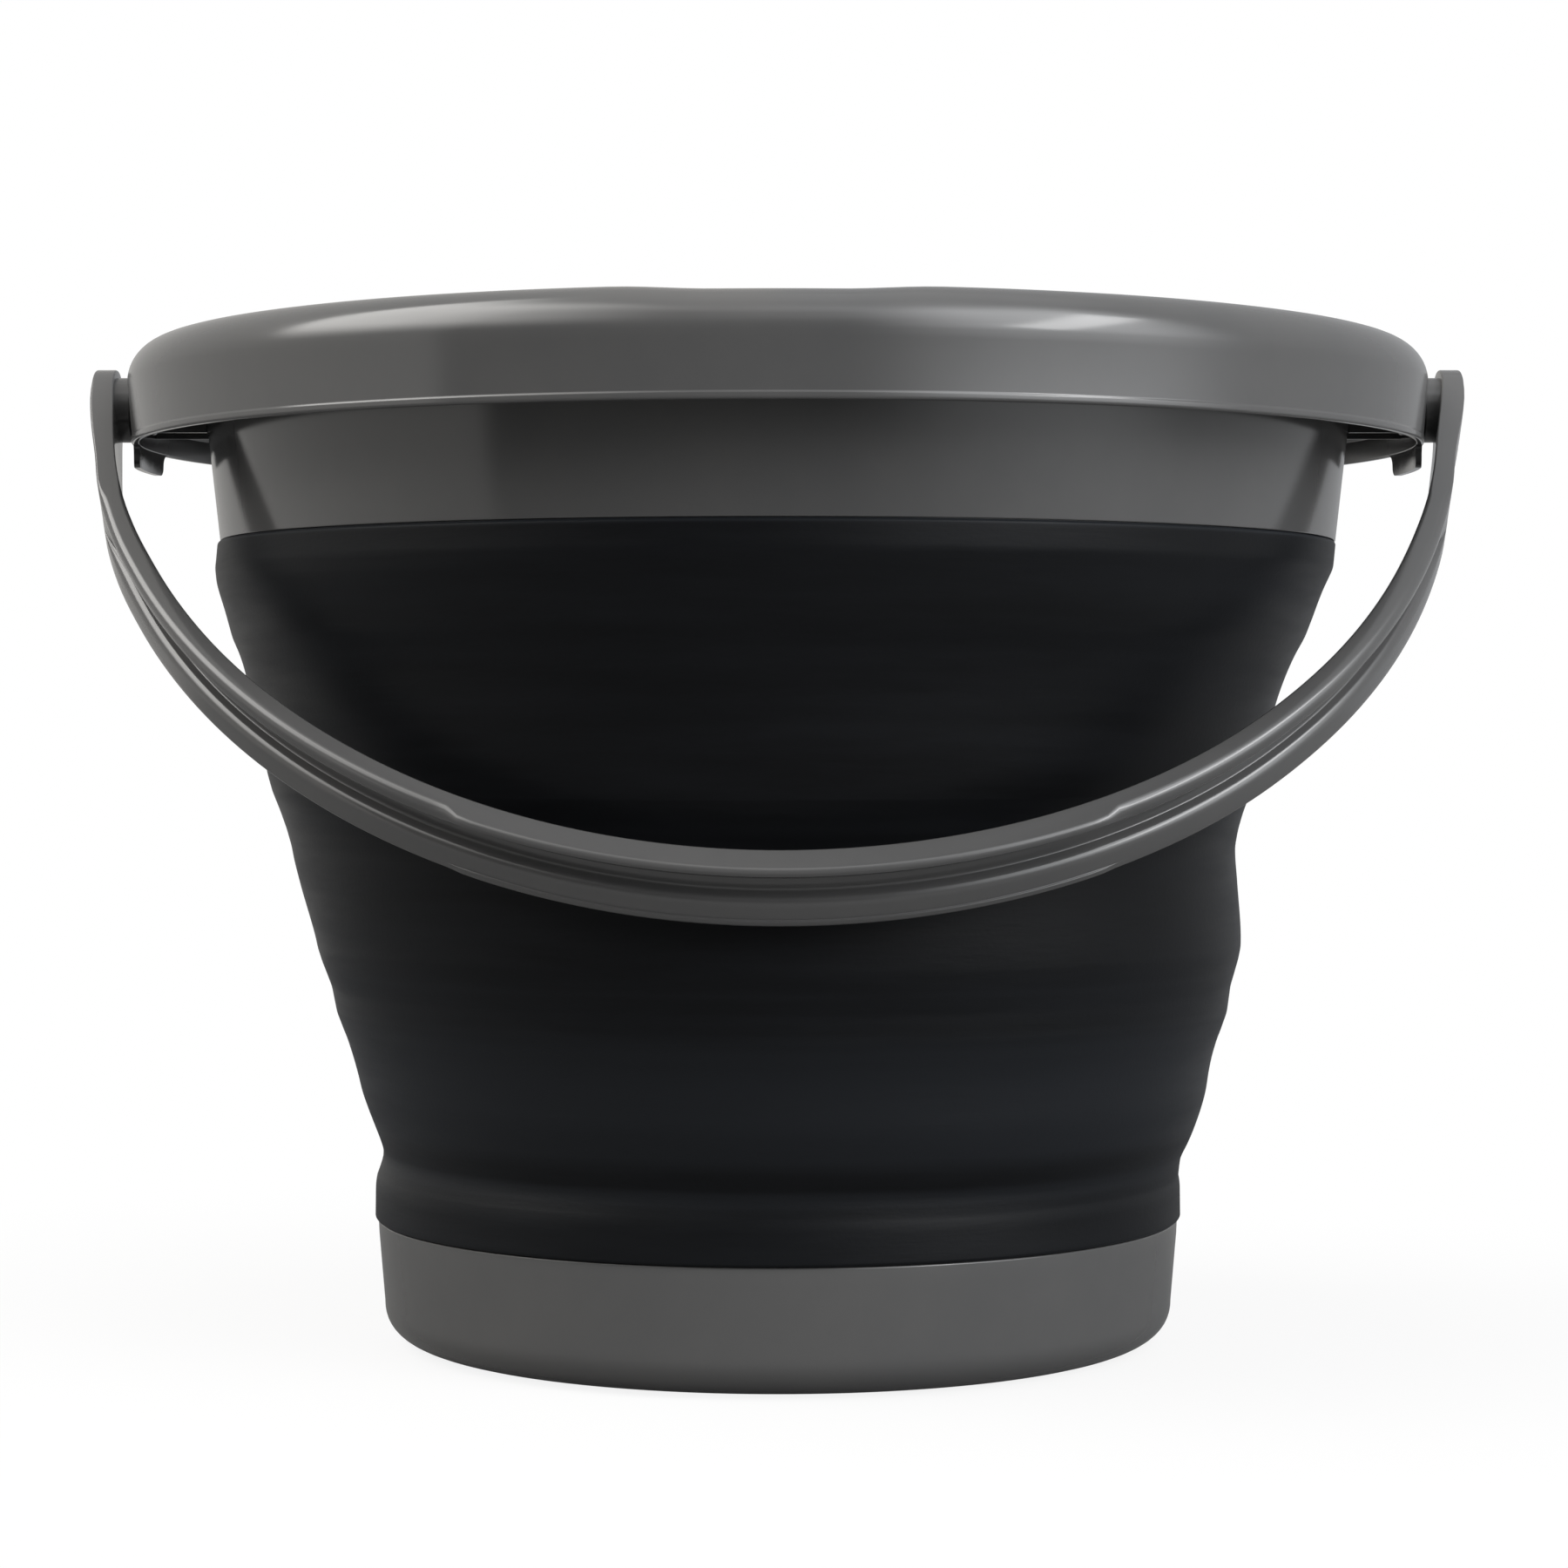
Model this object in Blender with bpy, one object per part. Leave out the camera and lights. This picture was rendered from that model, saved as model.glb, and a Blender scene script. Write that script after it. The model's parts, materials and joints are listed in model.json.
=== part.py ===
# Collapsible camp bucket: rigid rim, base and bail handle joined by a soft wall that folds in two steps.
# Metres, +Z up, origin at the centre of the base's foot plane. The front, with the pouring dip, faces -Y.

import bpy
import bmesh
from math import cos, pi, radians, sin, sqrt, tan
from mathutils import Vector

# How finely round shapes are divided
TURN_STEPS = 60
STUD_STEPS = 20
CORNER_POINTS = 4
CROWN_POINTS = 4
TAB_STEPS = 8
BAIL_END_STEPS = 4
BAIL_ARC_STEPS = 44

# Clearance between neighbouring pieces, and the overrun of tools that join or cut
GAP = 0.0003
OVERRUN = 0.002

# Soft wall: heights of its zones from the base up, the outer radii between them, and thicknesses
BOTTOM_CUFF_HEIGHT = 0.0153
LOWER_PANEL_HEIGHT = 0.0323
TIER_HEIGHT = 0.0600
UPPER_PANEL_HEIGHT = 0.0523
TOP_CUFF_HEIGHT = 0.0099
BOTTOM_CUFF_RADIUS = 0.1022
TIER_BOTTOM_RADIUS = 0.1112
TIER_TOP_RADIUS = 0.1238
TOP_CUFF_RADIUS = 0.1409
BOTTOM_CUFF_TAPER = 0.0009
TOP_CUFF_TAPER = 0.0005
CUFF_THICKNESS = 0.0019
CUFF_LIP_WIDTH = 0.0022
CUFF_LIP_THICKNESS = 0.0025
PANEL_THICKNESS = 0.0020
TIER_THICKNESS = 0.0026
HINGE_THICKNESS = 0.0013

# Base cup
BASE_SIDE_HEIGHT = 0.0315
BASE_CUFF_STEP = 0.0008
BASE_SIDE_TAPER = 0.0016
BASE_CORNER_HEIGHT = 0.0105
BASE_CORNER_WIDTH = 0.0138
BASE_CORNER_POWER = 2.3
BASE_WALL = 0.0022
BASE_FLOOR = 0.0026
FOOT_RING_WIDTH = 0.0110
FOOT_RECESS = 0.0012

# Rim: collar, rolled crown and skirt
COLLAR_HEIGHT = 0.0492
COLLAR_STEP = 0.0004
COLLAR_DRAFT = radians(6.2)
COLLAR_WALL = 0.0022
COLLAR_FLANGE_WALL = 0.0020
RIM_OVERHANG = 0.0185
SHOULDER_RADIUS = 0.0100
RIM_WALL = 0.0021
SKIRT_HEIGHT = 0.0148
SKIRT_TAPER = 0.0011
BEAD_HEIGHT = 0.0017
BEAD_DEPTH = 0.0005
DIP_DEPTH = 0.0008
DIP_HALF_WIDTH = 0.0350

# Pivot tabs, holes and ribs
PIVOT_DEPTH = 0.0149
STUD_RADIUS = 0.0049
STUD_CLEARANCE = 0.0003
TAB_HALF_WIDTH = 0.0185
TAB_DROP = 0.0057
TAB_CORNER_RADIUS = 0.0030
TAB_WALL = 0.0015
RIB_CLEARANCE = 0.0042
RIB_THICKNESS = 0.0015
RIB_LIFT = 0.0028

# Bail handle: an elliptical strap in a plane through the pivot axis, which leans on the wall
SPACER_LENGTH = 0.0043
SPACER_RADIUS = 0.0100
STUD_HEAD_RADIUS = 0.0063
STUD_HEAD_LENGTH = 0.0022
PAD_RADIUS = 0.0102
PAD_THICKNESS = 0.0056
PAD_STEP = 0.0030
PAD_INNER_RUN = 0.0240
PAD_OUTER_RUN = 0.0270
BAIL_EXTRA_DROP = 0.0050
BAIL_REST_GAP = 0.0006
STRAP_THICKNESS = 0.0061
STRAP_WIDTH = 0.0188
STRAP_EDGE = 0.0012
GROOVE_MOUTH = 0.0092
GROOVE_WIDTH = 0.0046
GROOVE_DEPTH = 0.0036
GROOVE_START = 0.0480
GROOVE_RUN_IN = 0.0180
GRIP_HALF_LENGTH = 0.0730
GRIP_RUN_IN = 0.0040
GRIP_EDGE_RISE = 0.0014
GRIP_EDGE_WIDTH = 0.0011

# Levels and radii that follow from the sizes above
WALL_BOTTOM = BASE_SIDE_HEIGHT
LOWER_CREASE = WALL_BOTTOM + BOTTOM_CUFF_HEIGHT
TIER_BOTTOM = LOWER_CREASE + LOWER_PANEL_HEIGHT
TIER_TOP = TIER_BOTTOM + TIER_HEIGHT
UPPER_CREASE = TIER_TOP + UPPER_PANEL_HEIGHT
WALL_TOP = UPPER_CREASE + TOP_CUFF_HEIGHT
RIM_TOP = WALL_TOP + COLLAR_HEIGHT
SHOULDER_LEVEL = RIM_TOP - SHOULDER_RADIUS
SKIRT_BOTTOM = SHOULDER_LEVEL - SKIRT_HEIGHT
PIVOT_LEVEL = RIM_TOP - PIVOT_DEPTH
LOWER_CREASE_RADIUS = BOTTOM_CUFF_RADIUS - BOTTOM_CUFF_TAPER
UPPER_CREASE_RADIUS = TOP_CUFF_RADIUS - TOP_CUFF_TAPER
COLLAR_LOW_RADIUS = TOP_CUFF_RADIUS - COLLAR_STEP
COLLAR_TOP_RADIUS = COLLAR_LOW_RADIUS + (SHOULDER_LEVEL - WALL_TOP) * tan(COLLAR_DRAFT)
RIM_RADIUS = COLLAR_TOP_RADIUS + RIM_OVERHANG
CROWN_RADIUS = RIM_RADIUS - SHOULDER_RADIUS
SKIRT_LOW_RADIUS = RIM_RADIUS - SKIRT_TAPER
PAD_INNER_REACH = RIM_RADIUS + GAP + SPACER_LENGTH
PAD_OUTER_REACH = PAD_INNER_REACH + PAD_THICKNESS
BAIL_HALF_SPAN = PAD_OUTER_REACH - PAD_STEP
BAIL_DROP = BAIL_HALF_SPAN + BAIL_EXTRA_DROP

# Outlines of the wall's zones: (share of the zone's height, share of its growth in radius)
LOWER_PANEL_SHARES = ((0, 0), (0.10, 0.11), (0.30, 0.36), (0.60, 0.64), (0.80, 0.79), (1, 1))
TIER_SHARES = ((0, 0), (0.07, 0.12), (0.18, 0.20), (0.33, 0.44), (0.46, 0.50), (0.80, 0.69),
               (0.88, 0.80), (1, 1))
UPPER_PANEL_SHARES = ((0, 0), (0.30, 0.24), (0.60, 0.50), (0.80, 0.76), (0.93, 0.93), (1, 1))
BOTTOM_CUFF_SHARES = ((0, 0), (0.55, 0.06), (0.76, 0.50), (1, 1))

GREY = (0.125, 0.124, 0.124, 1)
BLACK = (0.012, 0.0125, 0.014, 1)


def make_material(name, color, roughness):
    material = bpy.data.materials.new(name)
    material.use_nodes = True
    shader = material.node_tree.nodes["Principled BSDF"]
    shader.inputs["Base Color"].default_value = color
    shader.inputs["Roughness"].default_value = roughness
    shader.inputs["Metallic"].default_value = 0
    return material


def make_object(name, builder, material):
    mesh = bpy.data.meshes.new(name)
    builder.to_mesh(mesh)
    builder.free()
    mesh.shade_smooth()
    mesh.set_sharp_from_angle(angle=radians(40))
    mesh.materials.append(material)
    made = bpy.data.objects.new(name, mesh)
    bpy.context.collection.objects.link(made)
    return made


def joined(builders):
    """Gather several closed bodies in one mesh."""
    gathered = bmesh.new()
    mesh = bpy.data.meshes.new("gathered")
    for builder in builders:
        builder.to_mesh(mesh)
        builder.free()
        gathered.from_mesh(mesh)
    bpy.data.meshes.remove(mesh)
    return gathered


def smooth_step(value):
    value = min(max(value, 0), 1)
    return value * value * (3 - 2 * value)


def turn(outline, steps=TURN_STEPS, closed=True):
    """Spin an outline of (radius, height) points about Z. An open outline starts and ends on the axis."""
    builder = bmesh.new()
    verts = [builder.verts.new((radius, 0, height)) for radius, height in outline]
    edges = [builder.edges.new(pair) for pair in zip(verts, verts[1:])]
    if closed:
        edges.append(builder.edges.new((verts[-1], verts[0])))
    bmesh.ops.spin(builder, geom=verts + edges, axis=(0, 0, 1), cent=(0, 0, 0), steps=steps,
                   angle=2 * pi, use_merge=True)
    bmesh.ops.remove_doubles(builder, verts=builder.verts, dist=GAP / 30)
    bmesh.ops.recalc_face_normals(builder, faces=builder.faces)
    return builder


def loft(rings):
    """Join rings of points, all alike in number, into one closed body with flat ends."""
    builder = bmesh.new()
    made = [[builder.verts.new(point) for point in ring] for ring in rings]
    for low, high in zip(made, made[1:]):
        for index in range(len(low)):
            after = (index + 1) % len(low)
            builder.faces.new((low[index], low[after], high[after], high[index]))
    builder.faces.new(made[0][::-1])
    builder.faces.new(made[-1])
    bmesh.ops.recalc_face_normals(builder, faces=builder.faces)
    return builder


def add_boolean(target, tool, operation):
    tool.hide_render = True
    tool.display_type = "WIRE"
    modifier = target.modifiers.new(tool.name, "BOOLEAN")
    modifier.operation = operation
    modifier.solver = "EXACT"
    modifier.object = tool


def corner_curve(start_radius, end_radius, low, high, points):
    """Rounded corner from a level line at start_radius, low, to an upright one at end_radius, high."""
    curve = []
    for index in range(points + 1):
        angle = pi / 2 * index / points
        across = sin(angle) ** (2 / BASE_CORNER_POWER)
        up = 1 - cos(angle) ** (2 / BASE_CORNER_POWER)
        curve.append((start_radius + (end_radius - start_radius) * across, low + (high - low) * up))
    return curve


def zone_outline(shares, low, high, low_radius, high_radius):
    return [(low_radius + (high_radius - low_radius) * out, low + (high - low) * up) for up, out in shares]


def bottom_cuff_outline():
    return zone_outline(BOTTOM_CUFF_SHARES, WALL_BOTTOM, LOWER_CREASE - GAP, BOTTOM_CUFF_RADIUS,
                        LOWER_CREASE_RADIUS)


def lower_panel_outline():
    return zone_outline(LOWER_PANEL_SHARES, LOWER_CREASE, TIER_BOTTOM - GAP, LOWER_CREASE_RADIUS,
                        TIER_BOTTOM_RADIUS)


def tier_outline():
    return zone_outline(TIER_SHARES, TIER_BOTTOM, TIER_TOP, TIER_BOTTOM_RADIUS, TIER_TOP_RADIUS)


def upper_panel_outline():
    return zone_outline(UPPER_PANEL_SHARES, TIER_TOP + GAP, UPPER_CREASE, TIER_TOP_RADIUS,
                        UPPER_CREASE_RADIUS)


def make_base_cup(material):
    edge_radius = BOTTOM_CUFF_RADIUS - BASE_CUFF_STEP
    side_radius = edge_radius - BASE_SIDE_TAPER
    foot_radius = side_radius - BASE_CORNER_WIDTH
    foot_inner = foot_radius - FOOT_RING_WIDTH
    ledge_radius = BOTTOM_CUFF_RADIUS - CUFF_THICKNESS - GAP
    ledge_top = LOWER_CREASE - GAP - CUFF_LIP_THICKNESS - GAP
    floor_top = FOOT_RECESS + BASE_FLOOR
    outline = [(0, FOOT_RECESS), (foot_inner - FOOT_RECESS, FOOT_RECESS), (foot_inner, 0)]
    outline += corner_curve(foot_radius, side_radius, 0, BASE_CORNER_HEIGHT, CORNER_POINTS)
    outline += [(edge_radius, WALL_BOTTOM - GAP), (ledge_radius, WALL_BOTTOM - GAP),
                (ledge_radius, ledge_top), (ledge_radius - BASE_WALL, ledge_top)]
    inside = corner_curve(foot_radius - BASE_WALL, side_radius - BASE_WALL, floor_top,
                          floor_top + BASE_CORNER_HEIGHT, CORNER_POINTS - 2)
    outline += inside[::-1] + [(0, floor_top)]
    return make_object("base_cup", turn(outline, closed=False), material)


def make_bottom_cuff(material):
    """Skin over the base's top edge, with a lip across it."""
    inner_radius = BOTTOM_CUFF_RADIUS - CUFF_THICKNESS
    lip_radius = inner_radius - CUFF_LIP_WIDTH
    lip_top = LOWER_CREASE - GAP
    lip_bottom = lip_top - CUFF_LIP_THICKNESS
    outline = bottom_cuff_outline()
    outline += [(lip_radius, lip_top), (lip_radius, lip_bottom), (inner_radius, lip_bottom),
                (inner_radius, WALL_BOTTOM)]
    return make_object("wall_bottom_cuff", turn(outline), material)


def make_wall_zone(name, outer, thickness, material):
    """One zone of the soft wall, thinner at its two ends, where it hinges."""
    low = outer[0][1]
    high = outer[-1][1]
    inner = []
    for radius, height in outer:
        bulge = sin(pi * (height - low) / (high - low))
        inner.append((radius - HINGE_THICKNESS - (thickness - HINGE_THICKNESS) * bulge, height))
    return make_object(name, turn(outer + inner[::-1]), material)


def make_top_cuff(material):
    """Skin over the collar's lower flange, with a lip under it."""
    flange_radius = TOP_CUFF_RADIUS - CUFF_THICKNESS
    lip_radius = flange_radius - GAP - COLLAR_FLANGE_WALL
    bottom = UPPER_CREASE + GAP
    lip_top = bottom + HINGE_THICKNESS
    outline = [(lip_radius, bottom), (UPPER_CREASE_RADIUS, bottom),
               (TOP_CUFF_RADIUS, bottom + CUFF_THICKNESS), (TOP_CUFF_RADIUS, WALL_TOP - GAP),
               (TOP_CUFF_RADIUS - GAP, WALL_TOP), (flange_radius, WALL_TOP), (flange_radius, lip_top),
               (lip_radius, lip_top)]
    return make_object("wall_top_cuff", turn(outline), material)


def collar_radius(height):
    """Outer radius of the collar, which widens upwards by its draft."""
    return COLLAR_LOW_RADIUS + (height - WALL_TOP) * tan(COLLAR_DRAFT)


def crown_arc(half_width, rise, start, stop):
    """Part of the crown's arch, from angle start to stop, 0 pointing out and pi / 2 up."""
    arc = []
    for index in range(CROWN_POINTS + 1):
        angle = start + (stop - start) * index / CROWN_POINTS
        arc.append((CROWN_RADIUS + half_width * cos(angle), SHOULDER_LEVEL + rise * sin(angle)))
    return arc


def pour_dip(point):
    """Lower the crown a little at the front, where the bucket pours."""
    if point.y < 0 and abs(point.x) < DIP_HALF_WIDTH and point.z > SHOULDER_LEVEL:
        across = smooth_step(1 - abs(point.x) / DIP_HALF_WIDTH)
        point.z -= DIP_DEPTH * across * (point.z - SHOULDER_LEVEL) / SHOULDER_RADIUS


def make_rim(material):
    bead_radius = SKIRT_LOW_RADIUS + BEAD_DEPTH
    bead_top = SKIRT_BOTTOM + BEAD_HEIGHT
    inner_width = CROWN_RADIUS - COLLAR_TOP_RADIUS
    mouth_width = inner_width + COLLAR_WALL
    arch = SHOULDER_RADIUS - RIM_WALL
    flange_radius = TOP_CUFF_RADIUS - CUFF_THICKNESS - GAP
    flange_bottom = UPPER_CREASE + GAP + HINGE_THICKNESS + GAP
    flange_top = WALL_TOP + GAP
    outline = crown_arc(SHOULDER_RADIUS, SHOULDER_RADIUS, pi / 2, 0)
    outline += [(SKIRT_LOW_RADIUS, bead_top), (bead_radius, bead_top - BEAD_DEPTH),
                (bead_radius, SKIRT_BOTTOM + BEAD_DEPTH), (SKIRT_LOW_RADIUS, SKIRT_BOTTOM),
                (SKIRT_LOW_RADIUS - RIM_WALL, SKIRT_BOTTOM)]
    outline += crown_arc(arch, arch, 0, pi / 2)
    outline += crown_arc(inner_width, arch, pi / 2, pi)[1:]
    outline += [(COLLAR_LOW_RADIUS, flange_top), (flange_radius, flange_top),
                (flange_radius, flange_bottom), (flange_radius - COLLAR_FLANGE_WALL, flange_bottom),
                (COLLAR_LOW_RADIUS - COLLAR_WALL, flange_top)]
    outline += crown_arc(mouth_width, SHOULDER_RADIUS, pi, pi / 2)[:-1]
    builder = turn(outline)
    for vert in builder.verts:
        pour_dip(vert.co)
    rim = make_object("rim", builder, material)
    additions = []
    for side in (-1, 1):
        additions += [make_tab(side), make_rib(side, -1), make_rib(side, 1)]
    add_boolean(rim, make_object("rim_additions", joined(additions), material), "UNION")
    add_boolean(rim, make_pivot_cutter(material), "DIFFERENCE")
    return rim


def make_tab(side):
    """A curved plate in the skirt's own wall, hanging below its edge with rounded lower corners."""
    outer = SKIRT_LOW_RADIUS - (RIM_WALL - TAB_WALL) / 2
    low = SKIRT_BOTTOM - TAB_DROP
    top = SKIRT_BOTTOM + OVERRUN
    straight = TAB_HALF_WIDTH - TAB_CORNER_RADIUS
    rounding = [TAB_CORNER_RADIUS * sin(pi / 2 * index / CORNER_POINTS)
                for index in range(1, CORNER_POINTS + 1)]
    places = [-straight - past for past in rounding[::-1]]
    places += [straight * (2 * index / TAB_STEPS - 1) for index in range(TAB_STEPS + 1)]
    places += [straight + past for past in rounding]
    rings = []
    for place in places:
        past = max(abs(place) - straight, 0)
        bottom = low + TAB_CORNER_RADIUS - sqrt(max(TAB_CORNER_RADIUS ** 2 - past ** 2, 0))
        angle = place / outer
        corners = ((outer, bottom), (outer, top), (outer - TAB_WALL, top), (outer - TAB_WALL, bottom))
        rings.append([(side * radius * cos(angle), radius * sin(angle), height)
                      for radius, height in corners])
    return loft(rings)


def make_rib(side, end):
    """A plate between collar and skirt, beside the stud's head, that ends inside the walls it joins."""
    bite = RIM_WALL / 2
    low = SKIRT_BOTTOM + RIB_LIFT
    arch = SHOULDER_RADIUS - bite
    inner_width = CROWN_RADIUS - COLLAR_TOP_RADIUS + bite
    profile = [(collar_radius(low) - bite, low), (SKIRT_LOW_RADIUS - bite, low)]
    profile += crown_arc(arch, arch, 0, pi / 2)
    profile += crown_arc(inner_width, arch, pi / 2, pi)[1:]
    rings = []
    for face in (0, RIB_THICKNESS):
        across = end * (STUD_HEAD_RADIUS + RIB_CLEARANCE + face)
        rings.append([(side * sqrt(radius ** 2 - across ** 2), across, height) for radius, height in profile])
    return loft(rings)


def turn_about_pivot(outline, side):
    """Spin an outline of (radius, reach) points about the pivot axis, towards +X or -X."""
    builder = turn(outline, steps=STUD_STEPS, closed=False)
    for vert in builder.verts:
        vert.co = Vector((side * vert.co.z, vert.co.x, vert.co.y))
    bmesh.ops.recalc_face_normals(builder, faces=builder.faces)
    return builder


def make_pivot_cutter(material):
    """A pin along the pivot axis on each side, for the holes in the skirt."""
    radius = STUD_RADIUS + STUD_CLEARANCE
    near = SKIRT_LOW_RADIUS - RIM_WALL - OVERRUN
    far = RIM_RADIUS + OVERRUN
    outline = [(0, near), (radius, near), (radius, far), (0, far)]
    builder = joined([turn_about_pivot(outline, side) for side in (-1, 1)])
    bmesh.ops.translate(builder, verts=builder.verts, vec=(0, 0, PIVOT_LEVEL))
    return make_object("pivot_cutter", builder, material)


def bail_path():
    """Places along the strap: (reach along X, drop below the pivot, outward direction in the plane)."""
    middle_span = BAIL_HALF_SPAN - STRAP_THICKNESS / 2
    middle_drop = BAIL_DROP - STRAP_THICKNESS / 2
    places = []
    for index in range(BAIL_END_STEPS):
        angle = pi / 2 * (1 - (index + 1 / 3) / BAIL_END_STEPS)
        places.append((middle_span, -PAD_RADIUS * sin(angle), Vector((1, 0))))
    for index in range(BAIL_ARC_STEPS // 2):
        angle = pi / 2 * (1 - 2 * index / BAIL_ARC_STEPS)
        out = Vector((sin(angle) / middle_span, cos(angle) / middle_drop)).normalized()
        places.append((middle_span * sin(angle), middle_drop * cos(angle), out))
    mirrored = [(-reach, drop, Vector((-out.x, out.y))) for reach, drop, out in reversed(places)]
    return places + [(0, middle_drop, Vector((0, 1)))] + mirrored


def strap_section(reach, drop):
    """Section as (across, outward) points: a pad at the ends, then a groove, and raised edges at the grip."""
    half_strap = STRAP_THICKNESS / 2
    middle_span = BAIL_HALF_SPAN - half_strap
    pad_inner = PAD_INNER_REACH - middle_span
    pad_outer = PAD_OUTER_REACH - middle_span
    inner_share = smooth_step(drop / PAD_INNER_RUN)
    inner = pad_inner - (half_strap + pad_inner) * inner_share
    outer = pad_outer + (half_strap - pad_outer) * smooth_step(drop / PAD_OUTER_RUN)
    half_width = PAD_RADIUS + (STRAP_WIDTH / 2 - PAD_RADIUS) * inner_share
    if drop < 0:
        half_width = sqrt(PAD_RADIUS ** 2 - drop ** 2)
    edge = min(STRAP_EDGE, half_width / 3)
    lip_top = half_width - edge - min(GRIP_EDGE_WIDTH, half_width / 8)
    lip_foot = lip_top - min(GRIP_EDGE_WIDTH / 2, half_width / 12)
    mouth = min(GROOVE_MOUTH / 2, lip_foot * 3 / 4)
    narrow = min(GROOVE_WIDTH / 2, mouth * 3 / 4)
    depth = GROOVE_DEPTH * smooth_step((drop - GROOVE_START) / GROOVE_RUN_IN)
    rise = GRIP_EDGE_RISE * smooth_step((GRIP_HALF_LENGTH - abs(reach)) / GRIP_RUN_IN)
    half = [(half_width - edge, inner), (half_width, inner + edge), (half_width, outer + rise - edge),
            (half_width - edge, outer + rise), (lip_top, outer + rise), (lip_foot, outer), (mouth, outer),
            (narrow, outer - depth / 3), (narrow * 3 / 4, outer - depth)]
    return half + [(-across, outward) for across, outward in reversed(half)]


def strap_rings(tilt):
    """Sections of the strap about the pivot, tilted forward from hanging straight down."""
    rings = []
    for reach, drop, out in bail_path():
        ring = []
        for across, outward in strap_section(reach, drop):
            fall = drop + out.y * outward
            ring.append(Vector((reach + out.x * outward, -fall * sin(tilt) - across * cos(tilt),
                                across * sin(tilt) - fall * cos(tilt))))
        rings.append(ring)
    return rings


def wall_radius(height, outline):
    """Radius of an outline, listed from the bottom up, at a height within it."""
    for (low_radius, low), (high_radius, high) in zip(outline, outline[1:]):
        if low <= height <= high and high > low:
            return low_radius + (high_radius - low_radius) * (height - low) / (high - low)
    return 0


def resting_tilt():
    """The tilt at which the bail's strap leans on the wall, found by halving."""
    outline = bottom_cuff_outline() + lower_panel_outline() + tier_outline() + upper_panel_outline()
    outline.append((TOP_CUFF_RADIUS, WALL_TOP))
    low = 0
    high = pi / 2
    for _ in range(20):
        middle = (low + high) / 2
        clear = all(Vector((point.x, point.y)).length
                    > wall_radius(PIVOT_LEVEL + point.z, outline) + BAIL_REST_GAP
                    for ring in strap_rings(middle) for point in ring)
        if clear:
            high = middle
        else:
            low = middle
    return high


def make_bail(material):
    bail = make_object("bail", loft(strap_rings(resting_tilt())), material)
    studs = make_studs(material)
    bail.location.z = PIVOT_LEVEL
    studs.location.z = PIVOT_LEVEL
    add_boolean(bail, studs, "UNION")
    return bail


def make_studs(material):
    """Spacer disc, stud and retaining head at both ends, as the pads' moulding has them."""
    root = (PAD_INNER_REACH + PAD_OUTER_REACH) / 2
    spacer_face = RIM_RADIUS + GAP
    skirt_inside = SKIRT_LOW_RADIUS - RIM_WALL
    head_face = sqrt(skirt_inside ** 2 - STUD_HEAD_RADIUS ** 2) - GAP
    head_end = head_face - STUD_HEAD_LENGTH
    outline = [(0, head_end), (STUD_RADIUS, head_end), (STUD_HEAD_RADIUS, head_face - STUD_HEAD_LENGTH / 3),
               (STUD_HEAD_RADIUS, head_face), (STUD_RADIUS, head_face), (STUD_RADIUS, spacer_face),
               (SPACER_RADIUS, spacer_face), (SPACER_RADIUS, root), (0, root)]
    return make_object("bail_studs", joined([turn_about_pivot(outline, side) for side in (-1, 1)]), material)


def main():
    for old in list(bpy.data.objects):
        bpy.data.objects.remove(old, do_unlink=True)
    grey = make_material("grey_polypropylene", GREY, 0.32)
    black = make_material("black_soft_rubber", BLACK, 0.62)
    make_base_cup(grey)
    make_bottom_cuff(black)
    make_wall_zone("wall_lower_panel", lower_panel_outline(), PANEL_THICKNESS, black)
    make_wall_zone("wall_middle_tier", tier_outline(), TIER_THICKNESS, black)
    make_wall_zone("wall_upper_panel", upper_panel_outline(), PANEL_THICKNESS, black)
    make_top_cuff(black)
    make_rim(grey)
    make_bail(grey)


main()
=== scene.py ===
# Collapsible camp bucket: turned rim, soft wall and base, a swept bail handle, and a pale studio round them.
# Metres, +Z up, the front faces -Y, as in the frame.

import json
from math import atan2, cos, degrees, hypot, pi, radians, sin, sqrt

import bmesh
import bpy
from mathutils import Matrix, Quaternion, Vector


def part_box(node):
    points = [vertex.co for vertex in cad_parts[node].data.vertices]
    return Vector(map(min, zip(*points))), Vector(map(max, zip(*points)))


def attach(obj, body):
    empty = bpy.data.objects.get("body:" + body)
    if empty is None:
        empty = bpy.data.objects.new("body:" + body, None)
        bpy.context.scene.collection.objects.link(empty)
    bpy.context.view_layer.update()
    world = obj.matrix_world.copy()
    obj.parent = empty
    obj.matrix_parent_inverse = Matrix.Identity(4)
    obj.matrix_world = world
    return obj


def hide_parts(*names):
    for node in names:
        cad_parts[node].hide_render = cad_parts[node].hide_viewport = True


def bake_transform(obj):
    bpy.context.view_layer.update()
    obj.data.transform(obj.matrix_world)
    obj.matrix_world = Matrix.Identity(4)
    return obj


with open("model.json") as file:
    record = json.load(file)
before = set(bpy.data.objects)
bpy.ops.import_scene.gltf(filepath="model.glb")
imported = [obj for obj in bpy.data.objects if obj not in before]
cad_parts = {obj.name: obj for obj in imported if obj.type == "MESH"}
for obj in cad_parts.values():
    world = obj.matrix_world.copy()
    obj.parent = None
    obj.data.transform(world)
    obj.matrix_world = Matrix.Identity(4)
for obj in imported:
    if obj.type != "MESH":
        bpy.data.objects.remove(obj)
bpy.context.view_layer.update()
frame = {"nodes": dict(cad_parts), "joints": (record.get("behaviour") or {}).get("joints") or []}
mm = 0.001
print("frame loaded:", len(frame["nodes"]), "nodes")

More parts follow.
